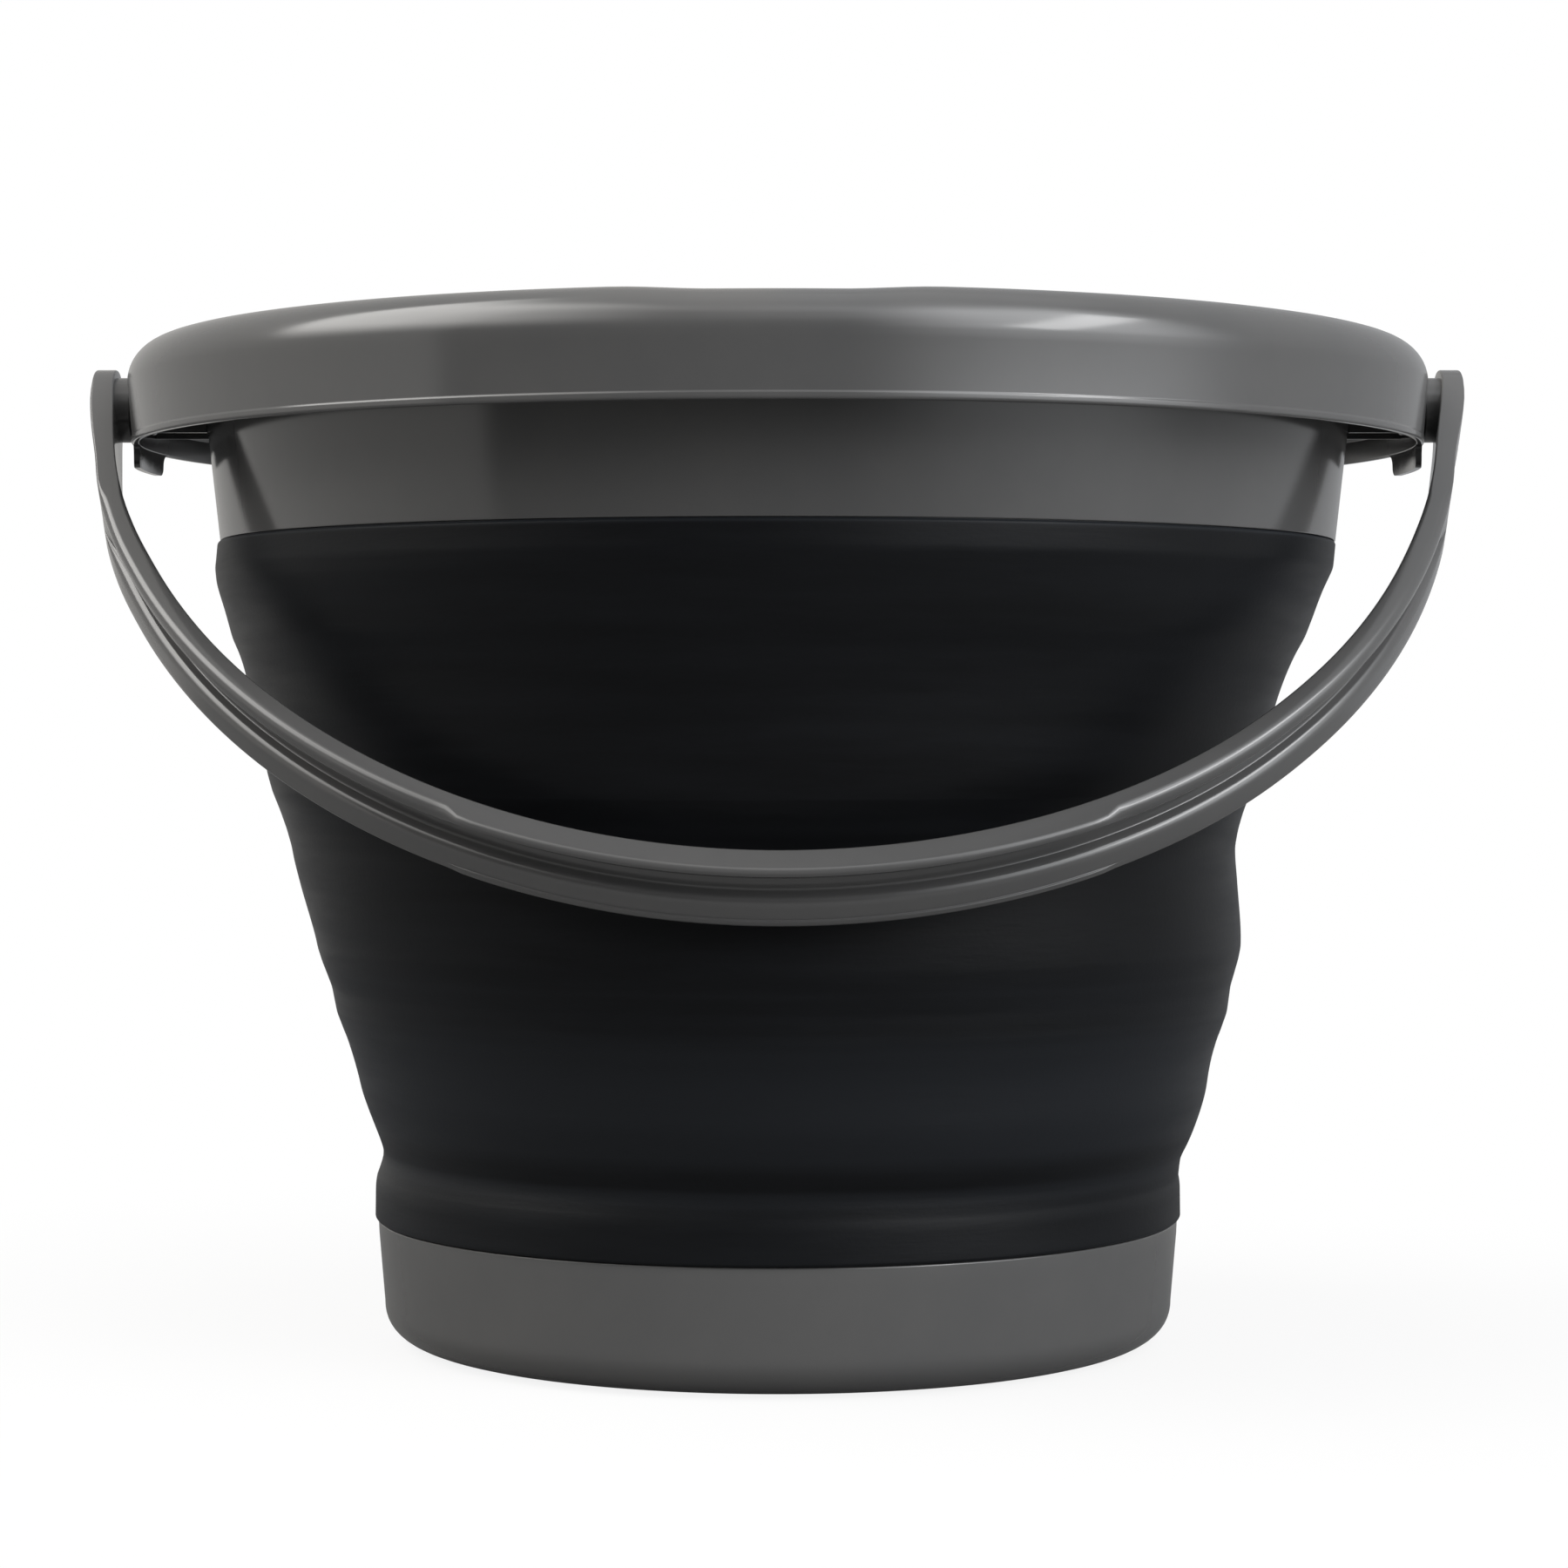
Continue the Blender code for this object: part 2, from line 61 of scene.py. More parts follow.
# Levels and radii read from the frame
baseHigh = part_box("base_cup")[1]
bottomCuffLow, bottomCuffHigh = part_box("wall_bottom_cuff")
lowerLow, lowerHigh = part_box("wall_lower_panel")
tierLow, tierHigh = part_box("wall_middle_tier")
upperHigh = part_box("wall_upper_panel")[1]
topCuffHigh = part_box("wall_top_cuff")[1]
rimLow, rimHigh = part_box("rim")
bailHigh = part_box("bail")[1]
pivotLevel = next(joint["pos_m"][2] for joint in frame["joints"] if joint["name"] == "bail_swing")
rimRadius = rimHigh.y
rimTop = rimHigh.z


# Modelling helpers

def deselectAll():
    bpy.ops.object.select_all(action="DESELECT")


def newPiece(name):
    # the object that an operator has just added
    piece = bpy.context.object
    piece.name = name
    piece.data.name = name
    return piece


def makeActive(piece):
    deselectAll()
    piece.select_set(True)
    bpy.context.view_layer.objects.active = piece


def applyPlace(piece):
    makeActive(piece)
    bpy.ops.object.transform_apply(location=True, rotation=True, scale=True)


def applyModifier(piece, kind, **settings):
    makeActive(piece)
    modifier = piece.modifiers.new(kind.lower(), kind)
    for setting, value in settings.items():
        setattr(modifier, setting, value)
    bpy.ops.object.modifier_apply(modifier=modifier.name)


def joinOrCut(piece, tool, operation):
    applyModifier(piece, "BOOLEAN", operation=operation, solver="EXACT", object=tool)
    bpy.data.objects.remove(tool)


def cutAcross(piece, place, radius, depth, segments):
    # a round cut along X
    deselectAll()
    bpy.ops.mesh.primitive_cylinder_add(vertices=segments, radius=radius, depth=depth, location=place,
                                        rotation=(0, pi / 2, 0))
    joinOrCut(piece, newPiece("roundCutter"), "DIFFERENCE")


def blockAt(name, corner, opposite):
    # a box between two opposite corners
    deselectAll()
    middle = [(a + b) / 2 for a, b in zip(corner, opposite)]
    bpy.ops.mesh.primitive_cube_add(size=1, location=middle)
    piece = newPiece(name)
    piece.scale = [abs(b - a) for a, b in zip(corner, opposite)]
    applyPlace(piece)
    return piece


def bevelEdges(piece, chosen, size, segments=6):
    # round off the edges whose two ends the test accepts
    makeActive(piece)
    bpy.ops.object.mode_set(mode="EDIT")
    bpy.ops.mesh.select_all(action="DESELECT")
    bpy.ops.mesh.select_mode(type="EDGE")
    shape = bmesh.from_edit_mesh(piece.data)
    for edge in shape.edges:
        if chosen(edge.verts[0].co, edge.verts[1].co):
            edge.select_set(True)
    bmesh.update_edit_mesh(piece.data)
    bpy.ops.mesh.bevel(offset=size, segments=segments, affect="EDGES")
    bpy.ops.object.mode_set(mode="OBJECT")


def smoothShade(piece, angle=32):
    makeActive(piece)
    bpy.ops.object.shade_smooth_by_angle(angle=radians(angle))


def same(first, second, reach=0.01 * mm):
    return abs(first - second) < reach


def smoothStep(value):
    value = min(max(value, 0), 1)
    return value * value * (3 - 2 * value)


def arcPoints(centre, width, rise, start, stop, steps):
    # points on an upright arc, from start to stop in degrees, 0 pointing out and 90 up
    points = []
    for step in range(steps + 1):
        angle = radians(start + (stop - start) * step / steps)
        points.append((centre[0] + width * cos(angle), centre[1] + rise * sin(angle)))
    return points


def softened(corners, steps=5):
    # an open outline of (radius, height, softness), each corner but the ends rounded over its softness
    points = [corners[0][:2]]
    for before, corner, after in zip(corners, corners[1:], corners[2:]):
        here = Vector(corner[:2])
        toBefore = Vector(before[:2]) - here
        toAfter = Vector(after[:2]) - here
        reach = min(corner[2], toBefore.length * 0.5, toAfter.length * 0.5)
        if reach <= 0:
            points.append(tuple(here))
            continue
        first = here + toBefore.normalized() * reach
        last = here + toAfter.normalized() * reach
        for step in range(steps + 1):
            share = step / steps
            bend = first * (1 - share) ** 2 + here * 2 * share * (1 - share) + last * share ** 2
            points.append(tuple(bend))
    points.append(corners[-1][:2])
    return points


def smoothTable(table, place):
    # a value read from (place, value) rows, eased through them by a cubic
    if place <= table[0][0]:
        return table[0][1]
    for index in range(len(table) - 1):
        low, high = table[index], table[index + 1]
        if place <= high[0]:
            before = table[index - 1] if index else low
            after = table[index + 2] if index + 2 < len(table) else high
            span = high[0] - low[0]
            slopeLow = (high[1] - before[1]) / (high[0] - before[0]) * span
            slopeHigh = (after[1] - low[1]) / (after[0] - low[0]) * span
            t = (place - low[0]) / span
            return ((2 * t ** 3 - 3 * t ** 2 + 1) * low[1] + (t ** 3 - 2 * t ** 2 + t) * slopeLow
                    + (3 * t ** 2 - 2 * t ** 3) * high[1] + (t ** 3 - t ** 2) * slopeHigh)
    return table[-1][1]


def turnedPiece(name, outline, segments, closed=True, leanAt=None):
    # a circle drawn out ring by ring along an outline of (radius, height)
    lean = leanAt or (lambda height: 0)
    rings = list(outline) + ([outline[0]] if closed else [])
    deselectAll()
    radius, height = rings[0]
    bpy.ops.mesh.primitive_circle_add(vertices=segments, radius=radius, location=(lean(height), 0, height))
    piece = newPiece(name)
    applyPlace(piece)
    bpy.ops.object.mode_set(mode="EDIT")
    bpy.ops.mesh.select_all(action="SELECT")
    if not closed:
        bpy.ops.mesh.edge_face_add()
    extrude = bpy.ops.mesh.extrude_edges_move if closed else bpy.ops.mesh.extrude_region_move
    for (oldRadius, oldHeight), (radius, height) in zip(rings, rings[1:]):
        extrude(TRANSFORM_OT_translate={"value": (lean(height) - lean(oldHeight), 0, height - oldHeight)})
        growth = radius / oldRadius
        bpy.ops.transform.resize(value=(growth, growth, 1), center_override=(lean(height), 0, height))
    bpy.ops.mesh.select_all(action="SELECT")
    bpy.ops.mesh.remove_doubles(threshold=0.005 * mm)
    bpy.ops.mesh.normals_make_consistent(inside=False)
    bpy.ops.object.mode_set(mode="OBJECT")
    return piece


def finishPiece(piece, finish, nodes, body=None):
    # gives the material and hides the nodes the piece replaces; a piece with no body here is left unattached
    material, slot = finish
    piece.data.materials.clear()
    piece.data.materials.append(material)
    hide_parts(*nodes)
    if body:
        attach(piece, body)
    print("piece ready:", piece.name, len(piece.data.polygons), "faces")


# Node helpers, for the materials and the studio

def setOrLink(tree, socket, value):
    if isinstance(value, bpy.types.NodeSocket):
        tree.links.new(value, socket)
    else:
        socket.default_value = value


def addNode(tree, kind, **inputs):
    node = tree.nodes.new(kind)
    for name, value in inputs.items():
        setOrLink(tree, node.inputs[name.replace("_", " ")], value)
    return node


def mathNode(tree, operation, first, second=0.0):
    node = tree.nodes.new("ShaderNodeMath")
    node.operation = operation
    setOrLink(tree, node.inputs[0], first)
    setOrLink(tree, node.inputs[1], second)
    return node.outputs[0]


def mixColor(tree, factor, first, second):
    node = tree.nodes.new("ShaderNodeMix")
    node.data_type = "RGBA"
    for index, value in ((0, factor), (6, first), (7, second)):
        setOrLink(tree, node.inputs[index], value)
    return node.outputs[2]


def remap(tree, value, low, high, toLow=0.0, toHigh=1.0, ease="LINEAR"):
    node = addNode(tree, "ShaderNodeMapRange", Value=value, From_Min=low, From_Max=high,
                   To_Min=toLow, To_Max=toHigh)
    node.interpolation_type = ease
    return node.outputs[0]


def softRamp(tree, value, low, high, toLow=0.0, toHigh=1.0):
    return remap(tree, value, low, high, toLow, toHigh, "SMOOTHSTEP")


def noise(tree, place, scale, detail, roughness):
    return addNode(tree, "ShaderNodeTexNoise", Vector=place, Scale=scale, Detail=detail,
                   Roughness=roughness).outputs[0]


def specks(tree, place, spacing, size, share):
    # sparse round dots: 1 on a dot, 0 elsewhere, with the outer part of each dot fading out
    core = 0.6
    cells = addNode(tree, "ShaderNodeTexVoronoi", Vector=place, Scale=1 / spacing)
    dot = remap(tree, cells.outputs["Distance"], size / spacing * core, size / spacing, 1, 0)
    chosen = addNode(tree, "ShaderNodeSeparateColor", Color=cells.outputs["Color"])
    kept = mathNode(tree, "LESS_THAN", chosen.outputs[0], share)
    return mathNode(tree, "MULTIPLY", dot, kept)


def newMaterial(name):
    # the material, its nodes, its shader and a place on the object
    material = bpy.data.materials.new(name)
    material.use_nodes = True
    tree = material.node_tree
    place = tree.nodes.new("ShaderNodeTexCoord").outputs["Object"]
    return material, tree, tree.nodes["Principled BSDF"], place


def finishSurface(tree, shader, look, color, flow, grain, ripple):
    # dusty colour, roughness that follows the flow, plain gloss, and a fine grain on a broad ripple
    tree.links.new(color, shader.inputs["Base Color"])
    low = look["roughness"] - look["roughnessSpread"] / 2
    high = look["roughness"] + look["roughnessSpread"] / 2
    tree.links.new(remap(tree, flow, *look["roughnessRange"], low, high), shader.inputs["Roughness"])
    shader.inputs["Specular IOR Level"].default_value = look["specular"]
    fine = addNode(tree, "ShaderNodeBump", Height=grain, Distance=look["grainHeight"], Strength=1.0)
    broad = addNode(tree, "ShaderNodeBump", Height=ripple, Distance=look["rippleHeight"], Strength=1.0,
                    Normal=fine.outputs[0])
    tree.links.new(broad.outputs[0], shader.inputs["Normal"])


# Materials. A noise is (scale, detail, roughness), dust is (spacing, size, share of the places)

greyPlastic = {
    "color": (0.100, 0.0995, 0.100, 1),
    "mottleColor": (0.108, 0.1065, 0.106, 1),
    "mottleRange": (0.35, 0.70),
    "dustColor": (0.42, 0.42, 0.42, 1),
    "dust": (14 * mm, 0.22 * mm, 0.22),
    "roughness": 0.15,
    "roughnessSpread": 0.05,
    "roughnessRange": (0.3, 0.7),
    "specular": 0.8,
    "flow": (38.0, 5.0, 0.6),
    "grain": (700.0, 3.0, 0.6),
    "grainHeight": 0.003 * mm,
    "ripple": (26.0, 1.0, 0.4),
    "rippleHeight": 0.07 * mm,
}


def makeGreyPlastic():
    look = greyPlastic
    material, tree, shader, place = newMaterial("satinGreyPlastic")
    flow = noise(tree, place, *look["flow"])
    grain = noise(tree, place, *look["grain"])
    ripple = noise(tree, place, *look["ripple"])
    dust = specks(tree, place, *look["dust"])
    pattern = remap(tree, flow, *look["mottleRange"])
    mottled = mixColor(tree, pattern, look["color"], look["mottleColor"])
    dusty = mixColor(tree, dust, mottled, look["dustColor"])
    finishSurface(tree, shader, look, dusty, flow, grain, ripple)
    return material


blackRubber = {
    "color": (0.0036, 0.0039, 0.0044, 1),
    "mottleColor": (0.0062, 0.0068, 0.0080, 1),
    "mottleRange": (0.36, 0.68),
    # painted light: the paler colour that the rubber turns to on its lighter bands
    "paintedLightColor": (0.0150, 0.0168, 0.0198, 1),
    "dustColor": (0.20, 0.21, 0.22, 1),
    "dust": (9 * mm, 0.20 * mm, 0.12),
    "roughness": 0.44,
    "roughnessSpread": 0.10,
    "roughnessRange": (0.3, 0.7),
    "specular": 0.14,
    "sheen": 0.02,
    "sheenTint": (0.72, 0.80, 1.0, 1),
    "streakScale": (1.0, 1.0, 9.0),
    "streaks": (14.0, 6.0, 0.62),
    "grain": (900.0, 2.0, 0.6),
    "grainHeight": 0.02 * mm,
    "rippleHeight": 0.16 * mm,
    # painted light and shade: how far the rubber turns pale at each height in mm, paler on panels that catch
    # light and reflection, darker at the creases and the hinge: bottom cuff and crease, lower panel, tier,
    # hinge and upper panel, top cuff and a pale line at its edge
    "paintedLightBands": [(31, 0.2), (44, 0.2), (45.2, 0.5), (47.6, 0.5), (49, 0.1),
              (52, 0.12), (56, 0.8), (72, 0.9), (81, 0.75), (86, 0.2),
              (93.2, 0.22), (94.4, 0.36), (95.8, 0.2), (104, 0.08), (130, 0.05), (132.5, 0.18),
              (134.2, 0.1), (140, 0), (146, 0.04), (162, 0.1), (182, 0.12), (184, 0.2),
              (192, 0.14), (200.2, 0.2), (200.7, 1)],
}


def paintedLightRamp(tree, height, paintedLightBands):
    # painted light and shade: a grey ramp up the wall from (height in mm, level) rows
    low, high = paintedLightBands[0][0], paintedLightBands[-1][0]
    ramp = tree.nodes.new("ShaderNodeValToRGB")
    tree.links.new(remap(tree, height, low * mm, high * mm), ramp.inputs[0])
    stops = ramp.color_ramp.elements
    stops[1].position = 1.0
    for index, (level, pale) in enumerate(paintedLightBands):
        if index == 0:
            stop = stops[0]
        elif index == len(paintedLightBands) - 1:
            stop = stops[len(stops) - 1]
        else:
            stop = stops.new((level - low) / (high - low))
        stop.color = (pale, pale, pale, 1)
    return ramp.outputs[0]


def makeBlackRubber():
    look = blackRubber
    material, tree, shader, place = newMaterial("softBlackRubber")
    flat = addNode(tree, "ShaderNodeMapping", Vector=place, Scale=look["streakScale"]).outputs[0]
    streaks = noise(tree, flat, *look["streaks"])
    grain = noise(tree, place, *look["grain"])
    dust = specks(tree, place, *look["dust"])
    pattern = remap(tree, streaks, *look["mottleRange"])
    streaked = mixColor(tree, pattern, look["color"], look["mottleColor"])
    height = addNode(tree, "ShaderNodeSeparateXYZ", Vector=place).outputs["Z"]
    # painted light and shade: the wall turns paler by height where its panels catch light and reflection,
    # darker at the creases and hinge
    paintedLightMixed = mixColor(tree, paintedLightRamp(tree, height, look["paintedLightBands"]), streaked, look["paintedLightColor"])
    dusty = mixColor(tree, dust, paintedLightMixed, look["dustColor"])
    finishSurface(tree, shader, look, dusty, streaks, grain, streaks)
    shader.inputs["Sheen Weight"].default_value = look["sheen"]
    shader.inputs["Sheen Tint"].default_value = look["sheenTint"]
    return material


# each finish is a material and the record's slot for it
plastic = (makeGreyPlastic(), "grey_polypropylene")
rubber = (makeBlackRubber(), "black_soft_rubber")
print("materials ready")


# Base cup

baseCup = {
    "segments": 192,
    "edgeRadius": baseHigh.y,
    "sideTop": bottomCuffLow.z - 0.25 * mm,
    "sideTaper": 1.6 * mm,
    "bandInset": 0.2 * mm,
    "bandHeight": 4 * mm,
    "cornerWidth": 13.8 * mm,
    "cornerHeight": 10.5 * mm,
    "cornerPower": 2.3,
    "cornerSteps": 14,
    "wall": 2.2 * mm,
    "floor": 2.6 * mm,
    "footWidth": 11.0 * mm,
    "footRecess": 1.2 * mm,
    "hubRadius": 6.0 * mm,
    "ledgeInset": 2.2 * mm,
    "ledgeDrop": 2.8 * mm,
    "innerCornerLift": 2 * mm,
    "edgeSoftness": 0.5 * mm,
}


def cupCorner(startRadius, endRadius, low, high):
    # rounded corner from the level floor line to the upright side
    points = []
    for step in range(baseCup["cornerSteps"] + 1):
        angle = pi / 2 * step / baseCup["cornerSteps"]
        across = sin(angle) ** (2 / baseCup["cornerPower"])
        up = 1 - cos(angle) ** (2 / baseCup["cornerPower"])
        points.append((startRadius + (endRadius - startRadius) * across, low + (high - low) * up))
    return points


def makeBaseCup():
    # the underside from the hub out, up the side, over the ledge and back down the inside
    edge = baseCup["edgeRadius"]
    side = edge - baseCup["sideTaper"]
    foot = side - baseCup["cornerWidth"]
    footInner = foot - baseCup["footWidth"]
    recess = baseCup["footRecess"]
    soft = baseCup["edgeSoftness"]
    wall = baseCup["wall"]
    floorTop = recess + baseCup["floor"]
    cornerTop = floorTop + baseCup["cornerHeight"]
    ledge = bottomCuffHigh.y - baseCup["ledgeInset"]
    ledgeTop = bottomCuffHigh.z - baseCup["ledgeDrop"]
    top = baseCup["sideTop"]
    outline = softened([(baseCup["hubRadius"], recess, 0), (footInner - recess, recess, soft),
                        (footInner, 0, soft), (foot, 0, 0)])[:-1]
    outline += cupCorner(foot, side, 0, baseCup["cornerHeight"])
    outline += softened([(edge - baseCup["bandInset"], top - baseCup["bandHeight"], 0), (edge, top, soft),
                         (ledge, top, 0), (ledge, ledgeTop, soft), (ledge - wall, ledgeTop, soft),
                         (side - wall, cornerTop + baseCup["innerCornerLift"], 0)])
    outline += cupCorner(foot - wall, side - wall, floorTop, cornerTop)[::-1]
    outline.append((baseCup["hubRadius"], floorTop))
    piece = turnedPiece("baseCup", outline, baseCup["segments"], closed=False)
    smoothShade(piece)
    finishPiece(piece, plastic, ["base_cup"], "base")


makeBaseCup()


# Soft wall: three stretches of one moulding, each with an outer and an inner face

softWall = {
    "segments": 216,
    "smoothAngle": 40,
    "ringStep": 1.0 * mm,
    "cuffWall": 1.9 * mm,
    "panelWall": 2.0 * mm,
    "tierWall": 2.6 * mm,
    "hingeWall": 1.3 * mm,
    "lipWidth": 2.2 * mm,
    "lipThickness": 2.5 * mm,
    "lipGap": 0.3 * mm,
    "lipEdges": (0.5 * mm, 0.3 * mm),  # the lips' roundings, next to the crease and away from it
    # the bottom cuff's outer face, in mm: inset, height above its lower edge, softness
    "cuffLine": [(0.35, 0, 0), (0, 0.4, 0.4), (0.1, 8.4, 1.5), (0.6, 11.2, 1.2)],
    "creaseInset": 0.9 * mm,
    "creaseDrop": 1.2 * mm,
    "creaseSoftness": 0.8 * mm,
    # the top cuff's lip, by its bottom and its top above the crease, and the cuff's upper edge
    "topLip": (0.1 * mm, 1.5 * mm),
    "topChamfer": 0.5 * mm,
    "topSoftness": 0.4 * mm,
    "foldMargin": 0.8 * mm,
}

# How far the wall stands askew to -X at each height, in mm
wallLean = [(height * mm, lean * mm) for height, lean in (
    (42, 0), (46, -0.9), (50, -1.7), (58, -1.75), (72, -1.2), (83, -1.05), (95, -0.6), (103, 0), (116, 2.3),
    (125, 3.6), (142, 4.0), (162, 3.4), (171, 2.75), (182, 2.05), (190, 1.7), (195, 0.9), (201, 0.3))]

# Outlines of the outer face: (share of the height, share of the growth in radius, softness in mm)
lowerShares = [(0, 0, 0), (0.05, 0.03, 1.2), (0.25, 0.29, 2.5), (0.39, 0.455, 3), (0.52, 0.586, 3),
               (0.66, 0.667, 3), (0.80, 0.778, 2), (0.93, 0.909, 1.5), (1, 1, 0)]
tierShares = [(0, 0, 0), (0.073, 0.127, 0.9), (0.183, 0.214, 0.9), (0.293, 0.389, 0.9), (0.345, 0.452, 0.9),
              (0.477, 0.524, 3), (0.622, 0.595, 3), (0.768, 0.651, 1.2), (0.84, 0.73, 1.2),
              (0.913, 0.841, 1.2), (1, 1, 0)]
upperShares = [(0, 0, 0), (0.056, 0.058, 1.2), (0.207, 0.193, 3), (0.371, 0.339, 3), (0.476, 0.45, 2),
               (0.545, 0.544, 2), (0.616, 0.673, 1.5), (0.754, 0.836, 1.8), (0.84, 0.945, 1.2),
               (0.894, 1.0, 0.9), (1, 1, 0)]


def leanAt(height):
    return -smoothTable(wallLean, height)


def zoneCorners(shares, low, high, lowRadius, highRadius):
    return [(lowRadius + (highRadius - lowRadius) * out, low + (high - low) * up, softness * mm)
            for up, out, softness in shares]


def evenRings(points):
    # the same line with points no further apart in height than the ring step
    rings = [points[0]]
    for (radius, height), (nextRadius, nextHeight) in zip(points, points[1:]):
        steps = max(1, round(abs(nextHeight - height) / softWall["ringStep"]))
        for step in range(1, steps + 1):
            share = step / steps
            rings.append((radius + (nextRadius - radius) * share, height + (nextHeight - height) * share))
    return rings


def innerFace(outer, low, high, thickness):
    # the inner line, from the top down, thinner towards the hinges at low and high
    inner = []
    for radius, height in reversed(outer):
        share = min(max((height - low) / (high - low), 0), 1)
        bulge = sin(pi * share) ** 0.5
        inside = softWall["hingeWall"] + (thickness - softWall["hingeWall"]) * bulge
        inner.append((radius - inside, height))
    return inner


def wallPiece(name, outline, nodes, body=None):
    piece = turnedPiece(name, outline, softWall["segments"], leanAt=leanAt)
    smoothShade(piece, softWall["smoothAngle"])
    finishPiece(piece, rubber, nodes, body)
    return piece


def makeLowerWall():
    # bottom cuff over the base's edge, with its lip, and the lower folding panel
    cuffRadius = bottomCuffHigh.y
    bottom = bottomCuffLow.z
    crease = lowerLow.z
    creaseRadius = cuffRadius - softWall["creaseInset"]
    cuff = [(cuffRadius - inset * mm, bottom + up * mm, softness * mm)
            for inset, up, softness in softWall["cuffLine"]]
    cuff.append((creaseRadius, crease - softWall["creaseDrop"], softWall["creaseSoftness"]))
    panel = zoneCorners(lowerShares, crease, tierLow.z, creaseRadius, lowerHigh.y)
    outer = evenRings(softened(cuff + panel))
    panelOuter = [point for point in outer if point[1] >= crease]
    inner = innerFace(panelOuter, crease, tierLow.z, softWall["panelWall"])
    skin = cuffRadius - softWall["cuffWall"]
    lip = skin - softWall["lipWidth"]
    lipTop = crease - softWall["lipGap"]
    lipBottom = lipTop - softWall["lipThickness"]
    topEdge, bottomEdge = softWall["lipEdges"]
    tail = softened([inner[-1] + (0,), (lip, lipTop, topEdge), (lip, lipBottom, bottomEdge),
                     (skin, lipBottom, 0), (skin, bottom, 0)], 3)[1:]
    piece = wallPiece("softWallLower", outer + inner + tail, ["wall_bottom_cuff", "wall_lower_panel"])
    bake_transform(piece)


def makeTierWall():
    outer = evenRings(softened(zoneCorners(tierShares, tierLow.z, tierHigh.z, lowerHigh.y, tierHigh.y)))
    inner = innerFace(outer, tierLow.z, tierHigh.z, softWall["tierWall"])
    wallPiece("softWallTier", outer + inner, ["wall_middle_tier"], "tier")


def makeUpperWall():
    # upper folding panel and the top cuff over the collar's end
    cuffRadius = topCuffHigh.y
    top = topCuffHigh.z
    crease = upperHigh.z
    chamfer = softWall["topChamfer"]
    corners = zoneCorners(upperShares, tierHigh.z, top, tierHigh.y, cuffRadius)
    corners[-1] = (cuffRadius, top - chamfer, softWall["topSoftness"])
    corners.append((cuffRadius - chamfer, top, 0))
    outer = evenRings(softened(corners))
    panelOuter = [point for point in outer if point[1] <= crease]
    inner = innerFace(panelOuter, tierHigh.z, crease, softWall["panelWall"])
    skin = cuffRadius - softWall["cuffWall"]
    lip = skin - softWall["lipWidth"]
    lipBottom, lipTop = [crease + lift for lift in softWall["topLip"]]
    bottomEdge, topEdge = softWall["lipEdges"]
    head = softened([outer[-1] + (0,), (skin, top, 0), (skin, lipTop, 0), (lip, lipTop, topEdge),
                     (lip, lipBottom, bottomEdge), inner[0] + (0,)], 3)[1:-1]
    piece = wallPiece("softWallUpper", outer + head + inner, ["wall_upper_panel", "wall_top_cuff"])
    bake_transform(piece)


makeLowerWall()
makeTierWall()
makeUpperWall()


# Rim: rolled crown, skirt with a bead, drafted collar, pivot tabs and ribs

rim = {
    "segments": 240,
    "shoulder": 10.0 * mm,
    "wall": 2.1 * mm,
    "edgeSoftness": 0.4 * mm,
    "fineSoftness": 0.2 * mm,
    # the crown's arcs: steps, and the angles at which the inner ones begin and end
    "crownSteps": 14,
    "archSteps": 9,
    "archStart": 8,
    "innerCrownSteps": 16,
    "innerCrownArc": (176, 96),
    "skirtStart": (0.2 * mm, 2 * mm),  # in from the rim's radius, and below the crown's arc
    "skirtHeight": 15.2 * mm,
    "skirtTaper": 1.1 * mm,
    "beadHeight": 1.7 * mm,
    "beadDepth": 0.2 * mm,
    "beadBlend": 0.2 * mm,
    "beadSoftness": (0.25 * mm, 0.15 * mm),
    "beadFoot": 0.5 * mm,
    "innerFoot": (0.3 * mm, 0.5 * mm),  # the skirt's inner lower edge: inset and softness
    "stepHeight": 6.4 * mm,
    "stepDepth": 0.7 * mm,
    "stepDrafts": (0.1 * mm, 0.6 * mm),
    "collarStart": (0.3 * mm, 3 * mm),
    "collarStep": 0.4 * mm,
    "collarOverhang": 18.5 * mm,
    "collarWall": 2.2 * mm,
    "collarBend": (4 * mm, 3 * mm),  # inside, above the flange: height and softness
    "flangeWall": 2.0 * mm,
    "flangeInset": 2.2 * mm,
    "flangeGap": 0.15 * mm,
    "dipDepth": 0.8 * mm,
    "dipHalfWidth": 36 * mm,
    "dipEase": 1.6,
    "holeRadius": 5.2 * mm,
    "holeDepth": 12 * mm,
    "holeSegments": 64,
    "ribOffset": 10.5 * mm,
    "ribWall": 1.5 * mm,
    "ribLift": 3.8 * mm,
    "ribTop": 1.0 * mm,
    "ribInner": 1.1 * mm,
    "ribOuter": 1.6 * mm,
    "ribFlat": 0.1 * mm,
    "ribSteps": 10,
}

pivotTab = {
    "width": 37 * mm,
    "drop": 5.3 * mm,
    "wall": 1.5 * mm,
    "inset": 0.25 * mm,
    "overlap": 1.2 * mm,
    "rounding": 2.6 * mm,
    "fillet": 3.0 * mm,
    "filletSegments": 48,
    # how far the plate and its cutters reach past the tab, to be trimmed or to cut clear through
    "plateInside": 12 * mm,
    "plateOutside": 2 * mm,
    "filletDepth": 60 * mm,
    "sideReach": 0.3,
    "sideBelow": 5 * mm,
    "sidePast": 2 * mm,
    "tubeBelow": 6 * mm,
    "tubeAbove": 3 * mm,
}


